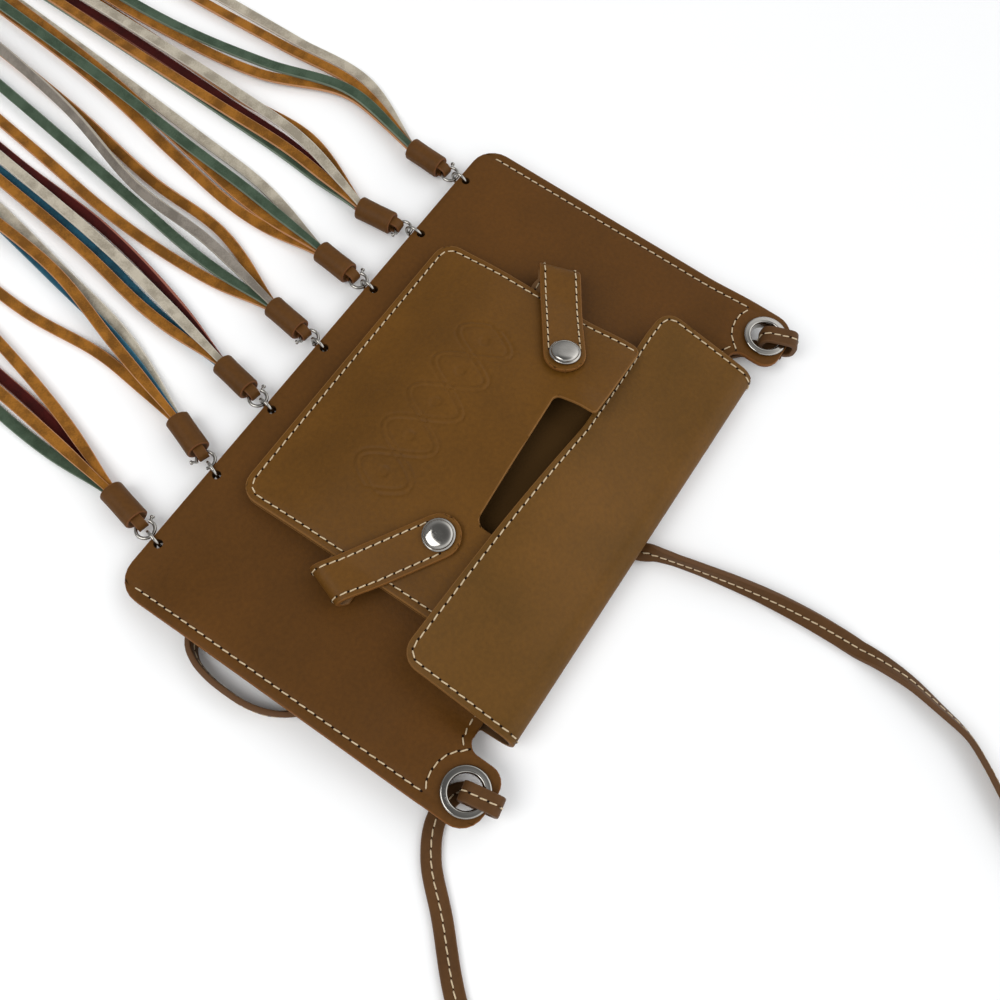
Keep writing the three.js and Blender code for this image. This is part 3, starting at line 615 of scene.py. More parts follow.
def soften(points, radius):
    """A polyline with its inner corners rounded"""
    line = [Vector(points[0]).to_2d()]
    for before, corner, after in zip(points, points[1:], points[2:]):
        before, corner, after = (Vector(p).to_2d() for p in (before, corner, after))
        reach = min(radius, (before - corner).length / 2, (after - corner).length / 2)
        a = corner + (before - corner).normalized() * reach
        b = corner + (after - corner).normalized() * reach
        for i in range(9):
            t = i / 8
            line.append(a * (1 - t) ** 2 + corner * (2 * t * (1 - t)) + b * t * t)
    line.append(Vector(points[-1]).to_2d())
    return line


def stitch_row(line, pitch, place, depth, face=1):
    """Stations at an even pitch on a flat line, carried to where the sheet lies"""
    line, gone = along_line(line)
    count = max(2, round(gone[-1] / pitch))
    row = []
    for run in (np.arange(count) + 0.5) * gone[-1] / count:
        x, y = point_at(run, gone, line)
        dx, dy = point_at(run + 0.4, gone, line) - point_at(run - 0.4, gone, line)
        at = Vector(place(x, y, depth))
        ahead = Vector(place(x + dx, y + dy, depth)) - Vector(place(x - dx, y - dy, depth))
        up = Vector(place(x, y, depth + 0.5)) - Vector(place(x, y, depth - 0.5))
        row.append((at, ahead, up * face))
    return row


FOLD_RUN = FOLD_Y - EDGE_Y
ROLL_END = FOLD_RUN + math.pi / 2 * FOLD_UP
LEFT_END = ROLL_END + FOLD_Y - FLAP_EDGE_LEFT
RIGHT_END = ROLL_END + FOLD_Y - FLAP_EDGE_RIGHT
EAR_END = GROMMET_Y - EAR_CLEAR - EDGE_Y
MOUTH_RUN = MOUTH_Y - EDGE_Y
FLAP_ROW = 1.85
SIDE_ROW = 88


def flap_row_run(x):
    """Run of the flap's stitch row along its front edge"""
    share = (x + FLAP_HALF_RIGHT) / (FLAP_HALF_LEFT + FLAP_HALF_RIGHT)
    return RIGHT_END + (LEFT_END - RIGHT_END) * share - FLAP_ROW


def back_place(x, run, depth):
    """Where a point of the flat back sheet lies, rolled over into the flap"""
    along, z = folded(run, depth, EDGE_Y, FOLD_Y, PANEL_T,
                      lambda y: back_low(x, y), lambda y: flap_low(x, y))
    if run > ROLL_END:
        along += flap_pull(x) * flap_forward(along)
    return x, along, z


half_back = [(BAG_HALF, 0, 8), (BAG_HALF, EAR_END + 3, 2), (GROMMET_X, EAR_END, 6), (73.6, MOUTH_RUN, 3)]
back = cut_panel(
    "back_and_flap",
    half_back + [(ROLL_HALF_LEFT, MOUTH_RUN, 1), (FLAP_HALF_LEFT, LEFT_END, 6),
                 (-FLAP_HALF_RIGHT, RIGHT_END, 6), (-ROLL_HALF_RIGHT, MOUTH_RUN, 1)]
    + [(-x, y, r) for x, y, r in reversed(half_back)],
    PANEL_T,
    steps(-90, 90, 2.5),
    steps(2, FOLD_RUN - 2, 2.5) + steps(FOLD_RUN, ROLL_END, 0.9) + steps(ROLL_END + 1.8, LEFT_END - 3, 1.8),
    [(x, LINK_HOLE_Y - EDGE_Y, LINK_HOLE_R) for x in TASSEL_X])
form(back, PANEL_T, back_place, grain_up=False)
# The flap is a shade lighter than the front panel, partly a painted sheen on the raised flap; its dark back
# colour is painted shade inside the roll.
flap_leather_lit = leather("flap_leather_lit", "#593c12", "#664416", "#795328", "#46301a")
dress(back, "leather", ["back_and_flap"], flap_leather_lit)

half_front = [(BAG_HALF, EDGE_Y, 8), (BAG_HALF, EAR_TOP, 7),
              (EAR_INNER, EAR_TOP, 5), (EAR_INNER, MOUTH_Y, 3.5)]


def front_place(x, y, depth):
    return x, y, body_low(x, y) + depth


def front_pressed(x, y, depth):
    """The front panel's face with its side seams pulled in"""
    dent = groove(abs(x) - SIDE_ROW) if depth > PANEL_T / 2 and -54 < y < 44 else 0.0
    return x, y, body_low(x, y) + depth - dent


front = cut_panel(
    "front_panel", half_front + [(-x, y, r) for x, y, r in reversed(half_front)], PANEL_T,
    steps(-86, 86, 2.0) + pressed([-SIDE_ROW, SIDE_ROW]),
    steps(EDGE_Y + 2, 58, 2.0),
    [(x, LINK_HOLE_Y, LINK_HOLE_R) for x in TASSEL_X]
    + [(s * GROMMET_X, GROMMET_Y, GROMMET_HOLE_R) for s in (-1, 1)])
form(front, PANEL_T, front_pressed)
# The front panel is a shade darker than the flap, partly painted shade and partly its own tone; its dark back
# colour is painted shade too.
body_leather_shaded = leather("body_leather_shaded", "#5b380e", "#51320c", "#75491f", "#46301a")
dress(front, "leather", ["front_panel"], body_leather_shaded)

# Seams of the body: up each side, round below the grommet and along the mouth
SEAM_R = 10.4
round_grommet = [(GROMMET_X + SEAM_R * math.cos(a), GROMMET_Y + SEAM_R * math.sin(a))
                 for a in np.radians(np.linspace(302, 215, 9))]
side_seam = [(SIDE_ROW, -53)] + [(SIDE_ROW, y) for y in np.linspace(-50, 42.5, 20)]
ear_seam = round_grommet + [(71.6, 44.2), (68, 43.2), (62, 43)]
seams = []
for side in (1, -1):
    for line, sunk in ((side_seam, 0.1), (ear_seam, 0.0)):
        turned_line = [(side * x, y) for x, y in line]
        seams.append(stitch_row(turned_line, PANEL_PITCH, front_place, PANEL_T - sunk))
        low_line = [(side * x, min(y, 42.3 + max(0, 82 - x) * 0.15) - EDGE_Y) for x, y in line]
        seams.append(stitch_row(low_line, PANEL_PITCH, back_place, 0.0, -1))
sew("body_stitches", seams, PANEL_PITCH)
left_x, right_x = FLAP_HALF_LEFT - FLAP_ROW, FLAP_ROW - FLAP_HALF_RIGHT
row_start = FOLD_RUN + 3
left_share, right_share = ((row_start - MOUTH_RUN) / (end - MOUTH_RUN) for end in (LEFT_END, RIGHT_END))
left_roll_x = ROLL_HALF_LEFT + (FLAP_HALF_LEFT - ROLL_HALF_LEFT) * left_share - FLAP_ROW
right_roll_x = FLAP_ROW - ROLL_HALF_RIGHT - (FLAP_HALF_RIGHT - ROLL_HALF_RIGHT) * right_share
flap_line = soften([(left_roll_x, row_start), (left_x, flap_row_run(left_x)),
                    (right_x, flap_row_run(right_x)), (right_roll_x, row_start)], 4.6)
sew("flap_stitches", [stitch_row(flap_line, PANEL_PITCH, back_place, 0.0, -1)], PANEL_PITCH)

# Removable pouch
# A two-layer pouch of thinner leather, open at the top, with a thumb notch in its front edge.
# Its sides and bottom are sewn, and a plain band of crossing waves and beads is pressed into its front.
POUCH_T = 1.4
POUCH_HALF = 51
POUCH_BOTTOM = -47
POUCH_ROW = 2.0
POUCH_STAND, POUCH_STAND_RUN = 2.0, 25
POUCH_CROWN, POUCH_CROWN_RUN = 5.0, 28
SHOULDER_LIFT = 2.0
LIP_CURL = 1.4
AIR = 0.3
WAVE_Y = -15.0
WAVE_HIGH = 8.5
WAVE_LONG = 25.0
WAVE_REACH = 31.25
RIDGE_HIGH, RIDGE_HALF = 0.12, 0.45
FLANK_DEEP, FLANK_AT, FLANK_HALF = 0.26, 0.9, 0.32
BEAD_R, BEAD_DEEP, BEAD_SOFT = 1.9, 0.3, 0.6


def pouch_back_low(x, y):
    return body_low(x, y) + PANEL_T + AIR + POUCH_STAND * ease((y - POUCH_BOTTOM) / POUCH_STAND_RUN)


def pouch_front_low(x, y):
    """Underside of the pouch's front, crowned, with one shoulder out over the flap"""
    shoulder = SHOULDER_LIFT * ease((-8 - x) / 14) * ease((y - 4) / 16)
    crown = POUCH_CROWN * max(0.0, 1 - (x / POUCH_HALF) ** 2) * ease((y - POUCH_BOTTOM) / POUCH_CROWN_RUN)
    return pouch_back_low(x, y) + POUCH_T + AIR + shoulder + crown


def pressed_line(distance):
    """Profile of one pressed line: a rounded ridge between two fine grooves"""
    d = abs(distance)
    if d > 1.5:
        return 0.0
    ridge = RIDGE_HIGH * math.exp(-(d / RIDGE_HALF) ** 2)
    return FLANK_DEEP * math.exp(-((d - FLANK_AT) / FLANK_HALF) ** 2) - ridge


def wave_band(x, y):
    """Depth of the band pressed into the pouch: two crossing waves with a bead in each eye"""
    if abs(y - WAVE_Y) > WAVE_HIGH + 2 or abs(x) > WAVE_REACH + 2:
        return 0.0
    fade = ease(WAVE_REACH + 0.5 - abs(x))
    depth = 0.0
    for sign in (1, -1):
        swing = sign * WAVE_HIGH * math.cos(2 * math.pi * x / WAVE_LONG)
        slope = WAVE_HIGH * 2 * math.pi / WAVE_LONG * math.sin(2 * math.pi * x / WAVE_LONG)
        depth = max(depth, pressed_line((y - WAVE_Y - swing) / math.hypot(1, slope)), key=abs)
    for i in range(-2, 3):
        bead = math.hypot(x - i * WAVE_LONG / 2, y - WAVE_Y)
        depth = max(depth, BEAD_DEEP * ease((BEAD_R - bead) / BEAD_SOFT), key=abs)
    return depth * fade


def pouch_front_place(x, y, depth):
    dent = 0.0
    if depth > POUCH_T / 2:
        dent = wave_band(x, y)
        if y > POUCH_BOTTOM + 5:
            dent += groove(abs(x) - POUCH_HALF + POUCH_ROW)
        if abs(x) < POUCH_HALF - 5:
            dent += groove(y - POUCH_BOTTOM - POUCH_ROW)
    # The corner beside the notch curls up where it has come out over the flap
    lip = LIP_CURL * ease((x + 30) / 8) * ease((y - 12) / 9) if x < 0 else 0.0
    return x, y, pouch_front_low(x, y) + depth - dent + lip


# The pouch's dark back colour, seen through the notch, is partly painted shade inside the slot and partly the
# leather's own dark back.
pouch_leather = leather("pouch_leather", "#664211", "#5a3a0f", "#855d30", "#3f2a0d")
pouch_back = cut_panel(
    "pouch_back",
    [(-POUCH_HALF, POUCH_BOTTOM, 6), (POUCH_HALF, POUCH_BOTTOM, 6), (POUCH_HALF, 21.5, 2),
     (20, 25, 3), (-20, 25, 3), (-POUCH_HALF, 19.5, 2)],
    POUCH_T, steps(-48, 48, 3), steps(-44, 23, 3))
form(pouch_back, POUCH_T, lambda x, y, depth: (x, y, pouch_back_low(x, y) + depth), grain_up=False)
dress(pouch_back, "leather", ["pouch_back"], pouch_leather)
pouch_front = cut_panel(
    "pouch_front",
    [(-POUCH_HALF, POUCH_BOTTOM, 6), (POUCH_HALF, POUCH_BOTTOM, 6), (POUCH_HALF, 24, 3), (23.5, 24, 1.5),
     (23.5, 14.7, 3), (-21.3, 11.8, 2), (-21.3, 24.6, 1.5), (-POUCH_HALF, 24, 3)],
    POUCH_T,
    steps(-47, -33, 2) + steps(-32.4, 32.4, 0.4) + steps(33, 47, 2)
    + pressed([-POUCH_HALF + POUCH_ROW, POUCH_HALF - POUCH_ROW]),
    pressed([POUCH_BOTTOM + POUCH_ROW]) + steps(-43, -27, 2) + steps(-26, -4, 0.4) + steps(-2.5, 23, 1.7))
form(pouch_front, POUCH_T, pouch_front_place)
dress(pouch_front, "leather", ["pouch_front"], pouch_leather)
pouch_inset = POUCH_HALF - POUCH_ROW
pouch_line = soften([(-pouch_inset, 22.5), (-pouch_inset, POUCH_BOTTOM + POUCH_ROW),
                     (pouch_inset, POUCH_BOTTOM + POUCH_ROW), (pouch_inset, 22.5)], 5)
sew("pouch_stitches",
    [stitch_row(pouch_line, PANEL_PITCH, lambda x, y, w: (x, y, pouch_front_low(x, y) + w), POUCH_T - 0.1),
     stitch_row(soften([(-pouch_inset, 13), (-pouch_inset, -45), (pouch_inset, -45), (pouch_inset, 13)], 5),
                PANEL_PITCH, lambda x, y, w: (x, y, pouch_back_low(x, y) + w), 0.0, -1)],
    PANEL_PITCH)

# Snap straps
# Two leather tabs with a round end, sewn along both sides and fixed under the pouch.
# Each folds back past the pouch's side and is held on its front by a domed snap.
TAB_W = 12.5
TAB_T = 1.5
TAB_REACH = 30
TAB_ANCHOR = 12
TAB_ROW = 1.6
TAB_SLANT = 0.27
TAB_SIN, TAB_COS = math.sin(math.radians(34)), math.cos(math.radians(34))
TAB_PITCH = 2.7
TAB_AIR = 0.4
TAB_SLIP, TAB_SLIP_RUN = 4.8, 5
# For each end of the bag: its name and side, the snap's x and y, and the strap loop's turn in degrees
ENDS = [("left", 1, 32, 8.6, 10), ("right", -1, 34.4, 6.6, 22)]
tab_leather = leather("tab_leather", "#684415", "#5d3c11", "#7a5024", "#7a5a3a")


def tab_places(side, snap_x, snap_y):
    """Where a tab's points lie, and its straight run, roll and whole length"""
    def plan(u, r):
        return (side * (snap_x + r * TAB_COS + u * TAB_SIN), snap_y - r * TAB_SIN + u * TAB_COS)

    def low(u, r):
        return body_low(*plan(u, r)) + PANEL_T + AIR

    def up(u, r):
        x, y = plan(u, r)
        return pouch_front_low(min(POUCH_HALF, max(-POUCH_HALF, x)), y) + POUCH_T + TAB_AIR

    straight = TAB_REACH - TAB_ANCHOR
    roll = math.pi * ((up(0, TAB_REACH) - low(0, TAB_REACH) - TAB_T) / 2 + TAB_T / 2)
    whole = straight + roll + TAB_REACH + TAB_W / 2

    def place(across, run, depth):
        u = -side * across
        fold_at = TAB_REACH - TAB_SLANT * u
        start = 2 * fold_at + math.pi * (up(u, fold_at) - low(u, fold_at)) / 2 + TAB_W / 2 - whole

        def slip(d):
            return u - TAB_SLIP * (1 - math.exp(-max(0.0, fold_at - d) / TAB_SLIP_RUN))
        along, z = folded(run, depth, start, fold_at, TAB_T, lambda d: low(slip(d), d), lambda d: up(u, d))
        return (*plan(slip(along) if run <= fold_at - start else u, along), z)
    return place, straight, roll, whole


for end, side, snap_x, snap_y, loop_turn in ENDS:
    place, straight, roll, whole = tab_places(side, snap_x, snap_y)
    half = TAB_W / 2
    tab = cut_panel(
        f"snap_strap_{end}",
        [(-half, 0, 0.5), (half, 0, 0.5), (half, whole, half), (-half, whole, half)], TAB_T,
        steps(-half + 3, half - 3, 1.1) + pressed([-half + TAB_ROW, half - TAB_ROW]),
        steps(2, straight - 4, 2) + steps(straight - 3, straight + roll + 3, 0.8)
        + steps(straight + roll + 4, whole - 1, 1.5))
    form(tab, TAB_T, place, grain_up=False)
    dress(tab, "leather", [f"snap_strap_{end}"], tab_leather)
    row_xs = (half - TAB_ROW, TAB_ROW - half)
    rows = [stitch_row([(x, straight + 1), (x, whole - half - 1.5)], TAB_PITCH, place, 0.0, -1)
            for x in row_xs]
    rows += [stitch_row([(x, 2), (x, straight - 2)], TAB_PITCH, place, TAB_T) for x in row_xs]
    sew(f"snap_strap_{end}_stitches", rows, TAB_PITCH)

# Snaps
# Domed caps of nickel-plated brass, polished, set through the round end of each tab.
# A narrow rolled rim runs round the dome.
SNAP_RIM_R, SNAP_RIM = 4.25, 0.45
DOME_R, DOME_Z, DOME_HIGH = 4.1, 1.1, 0.95


def turn_up(name, profile, sides, on_axis=False, start=0, sweep=360):
    """A body turned about Z from a ring of (radius, height), or from a line that ends on the axis"""
    bpy.ops.mesh.primitive_circle_add(vertices=len(profile), fill_type="NOTHING")
    made = bpy.context.object
    made.name = name
    begin = Matrix.Rotation(math.radians(start), 4, "Z")
    for vertex, (radius, height) in zip(made.data.vertices, profile):
        vertex.co = begin @ Vector((radius, 0, height))
    bpy.ops.object.mode_set(mode="EDIT")
    if on_axis:
        choose(made, "edges", lambda edge: all(v.co.x < 0.0001 for v in edge.verts))
        bpy.ops.mesh.delete(type="EDGE")
    bpy.ops.mesh.select_all(action="SELECT")
    bpy.ops.mesh.spin(steps=sides, angle=math.radians(sweep), center=(0, 0, 0), axis=(0, 0, 1))
    bpy.ops.mesh.select_all(action="SELECT")
    if sweep < 360:
        bpy.ops.mesh.fill_holes(sides=0)
        bpy.ops.mesh.select_all(action="SELECT")
    else:
        bpy.ops.mesh.remove_doubles(threshold=0.001)
    bpy.ops.mesh.normals_make_consistent(inside=False)
    bpy.ops.object.mode_set(mode="OBJECT")
    return made


def settle(made, place):
    """Moves a piece made in millimetres at the origin to its place on the bag"""
    for vertex in made.data.vertices:
        vertex.co = place @ vertex.co * MM


def arc(x, z, radius, start, end, count):
    """Points of a round in a profile, angles in degrees"""
    turns = np.radians(np.linspace(start, end, count))
    return [(x + radius * math.cos(a), z + radius * math.sin(a)) for a in turns]


# Nickel plate: bright and grey, mirror-like with a few hairline scuffs
nickel, tree, shader = finish_of("nickel_plate")
stretched = put(tree, "ShaderNodeMapping", {"Scale": (1.0, 0.12, 1.0), "Rotation": (0, 0, 0.6)},
                {"Vector": place_on(tree)})
# Hairlines about 0.25 mm wide
scuff = noise(tree, 0.00025, stretched.outputs["Vector"])
fill(tree, shader, {"Metallic": 1.0}, {"Roughness": span(tree, scuff, 0.45, 0.75, 0.08, 0.18),
                                       "Base Color": mix(tree, scuff, "#aaa7a1", "#97938c")})

dome = [(DOME_R * math.cos(a) ** 0.6, DOME_Z + DOME_HIGH * math.sin(a))
        for a in np.radians(np.linspace(8, 90, 14))]
snap_profile = ([(0, 0), (4.2, 0)] + arc(SNAP_RIM_R, SNAP_RIM, SNAP_RIM, -80, 90, 8) + [(4.16, 0.95)]
                + dome[:-1] + [(0, DOME_Z + DOME_HIGH)])
for end, side, snap_x, snap_y, loop_turn in ENDS:
    def snap_low(dx, dy):
        return pouch_front_low(side * snap_x + dx, snap_y + dy) + POUCH_T + TAB_AIR + TAB_T + AIR
    slope_x = (snap_low(1, 0) - snap_low(-1, 0)) / 2
    slope_y = (snap_low(0, 1) - snap_low(0, -1)) / 2
    facing = UP.rotation_difference(Vector((-slope_x, -slope_y, 1))).to_matrix().to_4x4()
    snap = turn_up(f"snap_{end}", snap_profile, 48, on_axis=True)
    settle(snap, Matrix.Translation((side * snap_x, snap_y, snap_low(0, 0))) @ facing)
    dress(snap, "nickel", [f"snap_{end}"], nickel)

# Grommets
# Two-part eyelets of nickel-plated brass, one in each ear.
# A rounded flange lies on each face of the ear, and the barrel between them is rolled over in the bore.
BORE_R = 4.65
BARREL_R = 5.1
FLANGE_R, FLANGE_ROUND = 6.28, 0.52
BORE_ROUND = 0.62
FLANGE_HIGH = 0.9
flange_top = PANEL_T + AIR
eyelet_profile = (
    arc(BORE_R + BORE_ROUND, flange_top + 0.28, BORE_ROUND, 180, 60, 7)
    + arc(FLANGE_R, flange_top + 0.34, FLANGE_ROUND, 90, -20, 7)
    + [(BARREL_R, flange_top), (BARREL_R, -AIR)]
    + arc(FLANGE_R, -AIR - 0.34, FLANGE_ROUND, 20, -90, 7)
    + arc(BORE_R + BORE_ROUND, -AIR - 0.28, BORE_ROUND, -60, -180, 7))
for end, side, snap_x, snap_y, loop_turn in ENDS:
    eyelet = turn_up(f"grommet_{end}", eyelet_profile, 48)
    settle(eyelet, Matrix.Translation((side * GROMMET_X, GROMMET_Y, body_low(side * GROMMET_X, GROMMET_Y))))
    dress(eyelet, "nickel", [f"grommet_{end}"], nickel)

# Strap end loops
# The strap's ends, each folded through its grommet and over the tip of the ear.
# They are sewn down the middle like the rest of the strap.
LOOP_T = 1.6
LOOP_NEAR, LOOP_FAR = 0.1, 8.7


def weld(made):
    """Closes a strip whose ends meet"""
    bpy.context.view_layer.objects.active = made
    bpy.ops.object.mode_set(mode="EDIT")
    bpy.ops.mesh.select_all(action="SELECT")
    bpy.ops.mesh.remove_doubles(threshold=0.00002)
    bpy.ops.object.mode_set(mode="OBJECT")


for end, side, snap_x, snap_y, loop_turn in ENDS:
    top = body_low(side * GROMMET_X, GROMMET_Y) + flange_top + FLANGE_HIGH + AIR + LOOP_T / 2
    bottom = BACK_Z + LOOP_T / 2
    near, far = LOOP_NEAR - LOOP_T / 2, LOOP_FAR + LOOP_T / 2
    line, gone = along_line(soften(
        [(4, bottom), (far, bottom), (far, top), (near, top), (near, bottom), (4, bottom)], 2.6))
    turn = math.radians(90 + loop_turn)
    outward = Vector((math.cos(turn), math.sin(turn), 0))

    def loop_station(run):
        p, z = point_at(run, gone, line)
        before, after = (point_at((run + d) % gone[-1], gone, line) for d in (-0.3, 0.3))
        way = (after - before) / np.linalg.norm(after - before)
        at = Vector((side * GROMMET_X, GROMMET_Y, z)) + outward * p
        return at, outward.cross(UP), outward * way[1] - UP * way[0]

    loop = cut_strip(f"strap_loop_{end}", STRAP_W, gone[-1], LOOP_T, (47,), STRAP_EDGE, STRAP_GROOVE,
                     open_ends=True)
    lay(loop, gone[-1], loop_station)
    weld(loop)
    dress(loop, "leather", [f"strap_loop_{end}"], strap_leather)
    row = strip_row(loop_station, gone[-1], LOOP_T, 1.0, 0.3)
    sew(f"strap_loop_{end}_stitches", [row], STRAP_PITCH)

# Tassel fittings
# Each tassel hangs on a jump ring through the bag's edge, a spring ring with a knob on its bolt,
# a leather hairpin and a sleeve of rolled brown leather.
LEANS = [3, -6, 6, 8, 10, 19, 12]
WIRE_R = 0.5
BOLT_R = 0.36
JUMP_R = 2.75
JUMP_Y = LINK_HOLE_Y + 0.25 - JUMP_R
JUMP_Z = BACK_Z + PANEL_T + SEAM_GAP / 2
CLASP_R = 2.65
CLASP_Y = JUMP_Y - (JUMP_R - 2 * WIRE_R - 0.4) - CLASP_R
CLASP_FAR_Y = CLASP_Y - CLASP_R
CAP_Z = 3.7
CAP_LENGTH = 12
CAP_END = CLASP_FAR_Y - 1.2 - CAP_LENGTH
NECK_R = 1.65
NECK_LEG = 5.4
NECK_W = 3.2
NECK_T = 0.9
KNOB_TURN = 2.0


def bent_wire(name, radius, wire, sides, start, sweep, count):
    """A piece of round wire bent to an arc about Z, with closed ends, angles in degrees"""
    return turn_up(name, arc(radius, 0, wire, 0, 360, sides + 1)[:-1], count, start=start, sweep=sweep)


def leaning(i):
    """A tassel's turn about the hole that it hangs in"""
    hole = Matrix.Translation((TASSEL_X[i], LINK_HOLE_Y, 0))
    return hole @ Matrix.Rotation(-math.radians(LEANS[i]), 4, "Z") @ hole.inverted()


def joined(parts):
    """Several pieces made one"""
    bpy.ops.object.select_all(action="DESELECT")
    for part in parts:
        part.select_set(True)
    bpy.context.view_layer.objects.active = parts[0]
    bpy.ops.object.join()
    return bpy.context.object


cap_leather = leather("cap_leather", "#5c3a16", "#513311", "#6e4526", "#5a3d20")
neck_line, neck_gone = along_line(
    [(-NECK_LEG, -NECK_R)] + arc(0, 0, NECK_R, -90, 90, 15) + [(-NECK_LEG, NECK_R)])
cap_profile = ([(0, 7.2), (2.9, 7.2), (2.9, 0.4)] + arc(3.25, 0.35, 0.35, 180, 360, 7)
               + [(3.52, 3), (3.5, 6), (3.54, 9)] + arc(3.0, CAP_LENGTH - 0.55, 0.55, 0, 110, 8)
               + [(2.4, CAP_LENGTH - 0.3), (0, CAP_LENGTH - 0.5)])
for i, x in enumerate(TASSEL_X):
    tassel = f"tassel_{i + 1}"
    lean = leaning(i)
    jump = bent_wire(f"{tassel}_jump_ring", JUMP_R, WIRE_R, 10, 4, 352, 40)
    settle(jump, lean @ Matrix.Translation((x, JUMP_Y, JUMP_Z)) @ Matrix.Rotation(math.pi / 2, 4, "Y"))
    dress(jump, "nickel", [f"{tassel}_jump_ring"], nickel)

    knob_turn = KNOB_TURN if i % 2 == 0 else -KNOB_TURN
    knob_at = math.degrees(knob_turn) + 90
    barrel = bent_wire(f"{tassel}_spring_ring", CLASP_R, WIRE_R, 10, knob_at + 8, 280, 36)
    bolt = bent_wire("bolt", CLASP_R, BOLT_R, 8, knob_at - 74, 84, 12)
    bpy.ops.mesh.primitive_cylinder_add(vertices=12, radius=0.38, depth=1.0, rotation=(math.pi / 2, 0, 0),
                                        location=(0, CLASP_R + WIRE_R, 0))
    knob = bpy.context.object
    bpy.ops.object.transform_apply(location=True, rotation=True)
    bpy.ops.object.mode_set(mode="EDIT")
    choose(knob, "faces", lambda face: face.normal.y > 0.9)
    for rise, grow in ((0.15, 1.6), (0.2, 1.1), (0.25, 1.0), (0.2, 0.85), (0.12, 0.55)):
        bpy.ops.mesh.extrude_region_move(TRANSFORM_OT_translate={"value": (0, rise, 0)})
        bpy.ops.transform.resize(value=(grow, 1, grow))
    bpy.ops.object.mode_set(mode="OBJECT")
    for vertex in knob.data.vertices:
        vertex.co = Matrix.Rotation(knob_turn, 4, "Z") @ vertex.co
    clasp = joined([barrel, bolt, knob])
    tilt = math.atan2(JUMP_Z - CAP_Z, 2 * CLASP_R)
    clasp_at = Matrix.Translation((x, CLASP_Y, (JUMP_Z + CAP_Z) / 2))
    settle(clasp, lean @ clasp_at @ Matrix.Rotation(tilt, 4, "X"))
    dress(clasp, "nickel", [f"{tassel}_spring_ring"], nickel)

    def neck_station(run):
        y, z = point_at(run, neck_gone, neck_line)
        before, after = (point_at(run + d, neck_gone, neck_line) for d in (-0.2, 0.2))
        way = (after - before) / np.linalg.norm(after - before)
        at = lean @ Vector((x, CLASP_FAR_Y + y, CAP_Z + z))
        tip = lean.to_3x3()
        return at, tip @ Vector((-1, 0, 0)), tip @ Vector((0, way[1], -way[0]))

    neck = cut_strip(f"{tassel}_neck", NECK_W, neck_gone[-1], NECK_T, (35,), 0.25)
    lay(neck, neck_gone[-1], neck_station)
    dress(neck, "leather", [f"{tassel}_neck"], cap_leather)

    cap = turn_up(f"{tassel}_cap", cap_profile, 36, on_axis=True)
    seam = math.radians(40 * i)
    rim = cap.data.attributes.new("cut_edge", "FLOAT", "POINT")
    for vertex in cap.data.vertices:
        rim.data[vertex.index].value = float(not 0.2 <= vertex.co.z <= CAP_LENGTH - 0.2)
        around = (math.atan2(vertex.co.y, vertex.co.x) - seam) % (2 * math.pi)
        grow = 1 + 0.05 * (around / (2 * math.pi) - 0.5)
        vertex.co.x *= grow
        vertex.co.y *= grow
    settle(cap, lean @ Matrix.Translation((x, CAP_END, CAP_Z)) @ Matrix.Rotation(-math.pi / 2, 4, "X"))
    dress(cap, "cap_leather", [f"{tassel}_cap"], cap_leather)

# Tassel laces
# Flat laces of split suede in several colours, four or five to a tassel, gripped by its sleeve.
# Their sides are raw, so a paler line shows along them. Each lies flat or turns partly on its edge.
LACE_W = 3.4
LACE_T = 1.2
LACE_LAYER = 1.5
LACE_DROP = 24
LACE_PINCH = 0.6
LACE_STATIONS = [30, 60, 100, 190]


def suede(name, lit_nap, shade, raw):
    """Split suede: matt, with a short nap that catches the light, and raw paler sides"""
    material, tree, shader = finish_of(name)
    place = place_on(tree)
    # Tufts about 0.5 mm across and brushed patches about 6 mm long mix a lit and a shaded nap colour: partly
    # a painted sheen of the nap catching the light, partly uneven dye
    tufts = noise(tree, 0.0005, place, 4.0)
    brushed = noise(tree, 0.006, place)
    both = put(tree, "ShaderNodeMath", {1: 0.5}, {0: tufts, 2: brushed}, operation="MULTIPLY_ADD")
    toned = mix(tree, span(tree, both.outputs["Value"], 0.6, 0.9), lit_nap, shade)
    sided = mix(tree, marked(tree, "cut_edge"), toned, raw)
    fill(tree, shader,
         {"Roughness": 0.95, "Specular IOR Level": 0.2, "Sheen Weight": 0.1, "Sheen Roughness": 0.4},
         {"Base Color": sided, "Normal": bump(tree, tufts, 0.35, 0.0003)})
    return material


# Each colour gives a lit nap, a shaded nap and a paler raw side; the lit and shaded pair is partly painted
# light.
SUEDES = {
    "tan": suede("tan_suede", "#94601f", "#6c4412", "#b88760"),
    "cream": suede("cream_suede", "#b4ab99", "#908777", "#c9c2b4"),
    "sage": suede("sage_suede", "#465645", "#354434", "#6e7a6a"),
    "burgundy": suede("burgundy_suede", "#420c07", "#340805", "#96604f"),
    "teal": suede("teal_suede", "#25566a", "#1d4352", "#5a7884"),
    # Taupe is a greyed copy of the cream: painted shade, for the fourth tassel's lace that turns on its edge.
    "taupe": suede("taupe_suede", "#8a8278", "#6f685f", "#a39b8d"),
}
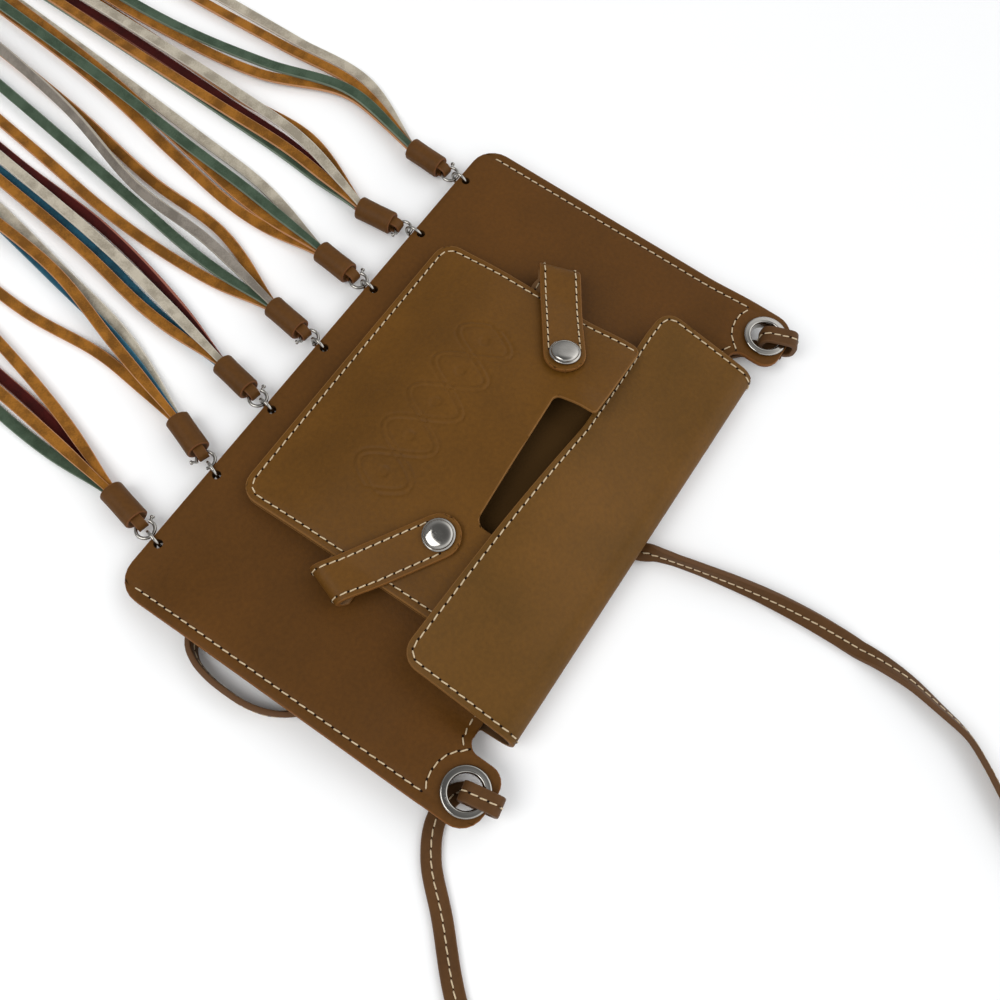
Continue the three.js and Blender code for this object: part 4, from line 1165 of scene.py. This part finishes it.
# For each tassel its laces: colour, x beside the cap at 30, 60, 100 and 190 mm from it, layer,
# and how far it is turned on its edge at those places, in degrees
TASSELS = [
    [("cream", -16.5, -16, -15, -15, 0, 10, 0, 20, 0), ("tan", -12, -10.5, -9, -9, 1, 0, 10, 0, 0),
     ("sage", -8, 0, 6, 5, 2, 8, 5, 0, 0), ("tan", -7.5, 4, 8.5, 8, 1, 0, 15, 10, 0)],
    [("tan", -11, -10.5, -12.5, -14, 0, 20, 15, 0, 0), ("cream", -7.5, -9.5, -10.5, -10, 2, 10, 20, 0, 0),
     ("tan", -2.5, -3, -3.5, -6.5, 1, 8, 10, 0, 0), ("sage", -1, -2.5, -4, -5.5, 0, 0, 0, 0, 0),
     ("burgundy", -5, -6.5, -8, -8.5, 0, 0, 0, 0, 0)],
    [("cream", -12, -15, -18.5, -25, 0, 0, 10, 0, 0), ("sage", -6.5, -9, -13, -19, 2, 0, 10, 20, 0),
     ("tan", -3.5, -8.5, -15.5, -24, 1, 5, 0, 10, 0), ("tan", 0, -4.5, -12, -19.5, 0, 35, 20, 0, 0)],
    [("tan", -15.5, -17.5, -24, -34, 0, 20, 35, 30, 0), ("taupe", -9.5, -11.5, -22, -34, 2, 0, 45, 50, 0),
     ("sage", -4, -8, -13.5, -25, 1, 0, 0, 20, 0), ("tan", 0.5, 0, -5, -16, 0, 20, 10, 0, 0)],
    [("burgundy", -14, -20, -23, -34, 0, 50, 40, 0, 0), ("cream", -10.5, -15.5, -20, -30, 2, 0, 0, 0, 0),
     ("tan", -5, -10, -14.5, -23, 1, 0, 0, 0, 0), ("teal", -7, -13, -17, -26, 0, 0, 0, 0, 0)],
    [("cream", -20, -26, -33, -43, 0, 20, 10, 0, 0), ("teal", -17, -22.5, -29, -39, 1, 5, 5, 0, 0),
     ("tan", -15.5, -24, -28, -38, 2, 0, 0, 0, 0), ("tan", -11, -9, -12, -22, 0, 20, 10, 0, 0)],
    [("tan", -15, -22, -29, -39, 1, 0, 0, 0, 0), ("burgundy", -11.5, -15, -22, -32, 0, 10, 0, 0, 0),
     ("tan", -8, -11, -17, -26, 2, 0, 0, 0, 0), ("sage", -4, -7, -12, -20, 0, 0, 0, 0, 0)],
]
for i, rows in enumerate(TASSELS):
    x = TASSEL_X[i]
    lean = leaning(i)
    strands = []
    for k, (colour, d30, d60, d100, d190, layer, *rolls) in enumerate(rows):
        beside = (k - (len(rows) - 1) / 2) * 0.3
        start = lean @ Vector((x + beside, CAP_END + 0.6, 0))
        beyond = zip((d30, d60, d100, d190), LACE_STATIONS)
        plan = [tuple(start)] + [(x + d, CAP_END - s, 0) for d, s in beyond]
        route, gone = along_line(smooth_line(plan, 1.0)[0])
        turns = np.interp(gone, [0] + LACE_STATIONS, [0] + rolls)

        def lace_station(run):
            at = Vector(point_at(run, gone, route))
            side, face, sine, cosine = rolled(run, gone, route, turns)
            drop = ease(run / LACE_DROP)
            rest = LACE_LAYER * layer + LACE_W / 2 * abs(sine) + LACE_T / 2 * cosine
            at.z = (CAP_Z + (layer - 1) * 0.9) * (1 - drop) + rest * drop
            return at, side * (LACE_PINCH + (1 - LACE_PINCH) * drop), face

        strand = cut_strip("lace", LACE_W, gone[-1], LACE_T, (79,), 0.3)
        lay(strand, gone[-1], lace_station)
        strand.data.materials.append(SUEDES[colour])
        strands.append(strand)
    plug = turn_up("plug", [(0, 0), (2.3, 0), (2.6, 0.3), (2.6, 6.2), (2.3, 6.6), (0, 6.6)], 20, on_axis=True)
    settle(plug, lean @ Matrix.Translation((x, CAP_END + 0.3, CAP_Z)) @ Matrix.Rotation(-math.pi / 2, 4, "X"))
    plug.data.materials.append(SUEDES["tan"])
    laces = joined(strands + [plug])
    laces.name = f"tassel_{i + 1}_laces"
    dress(laces, "suede", [f"tassel_{i + 1}_laces"])
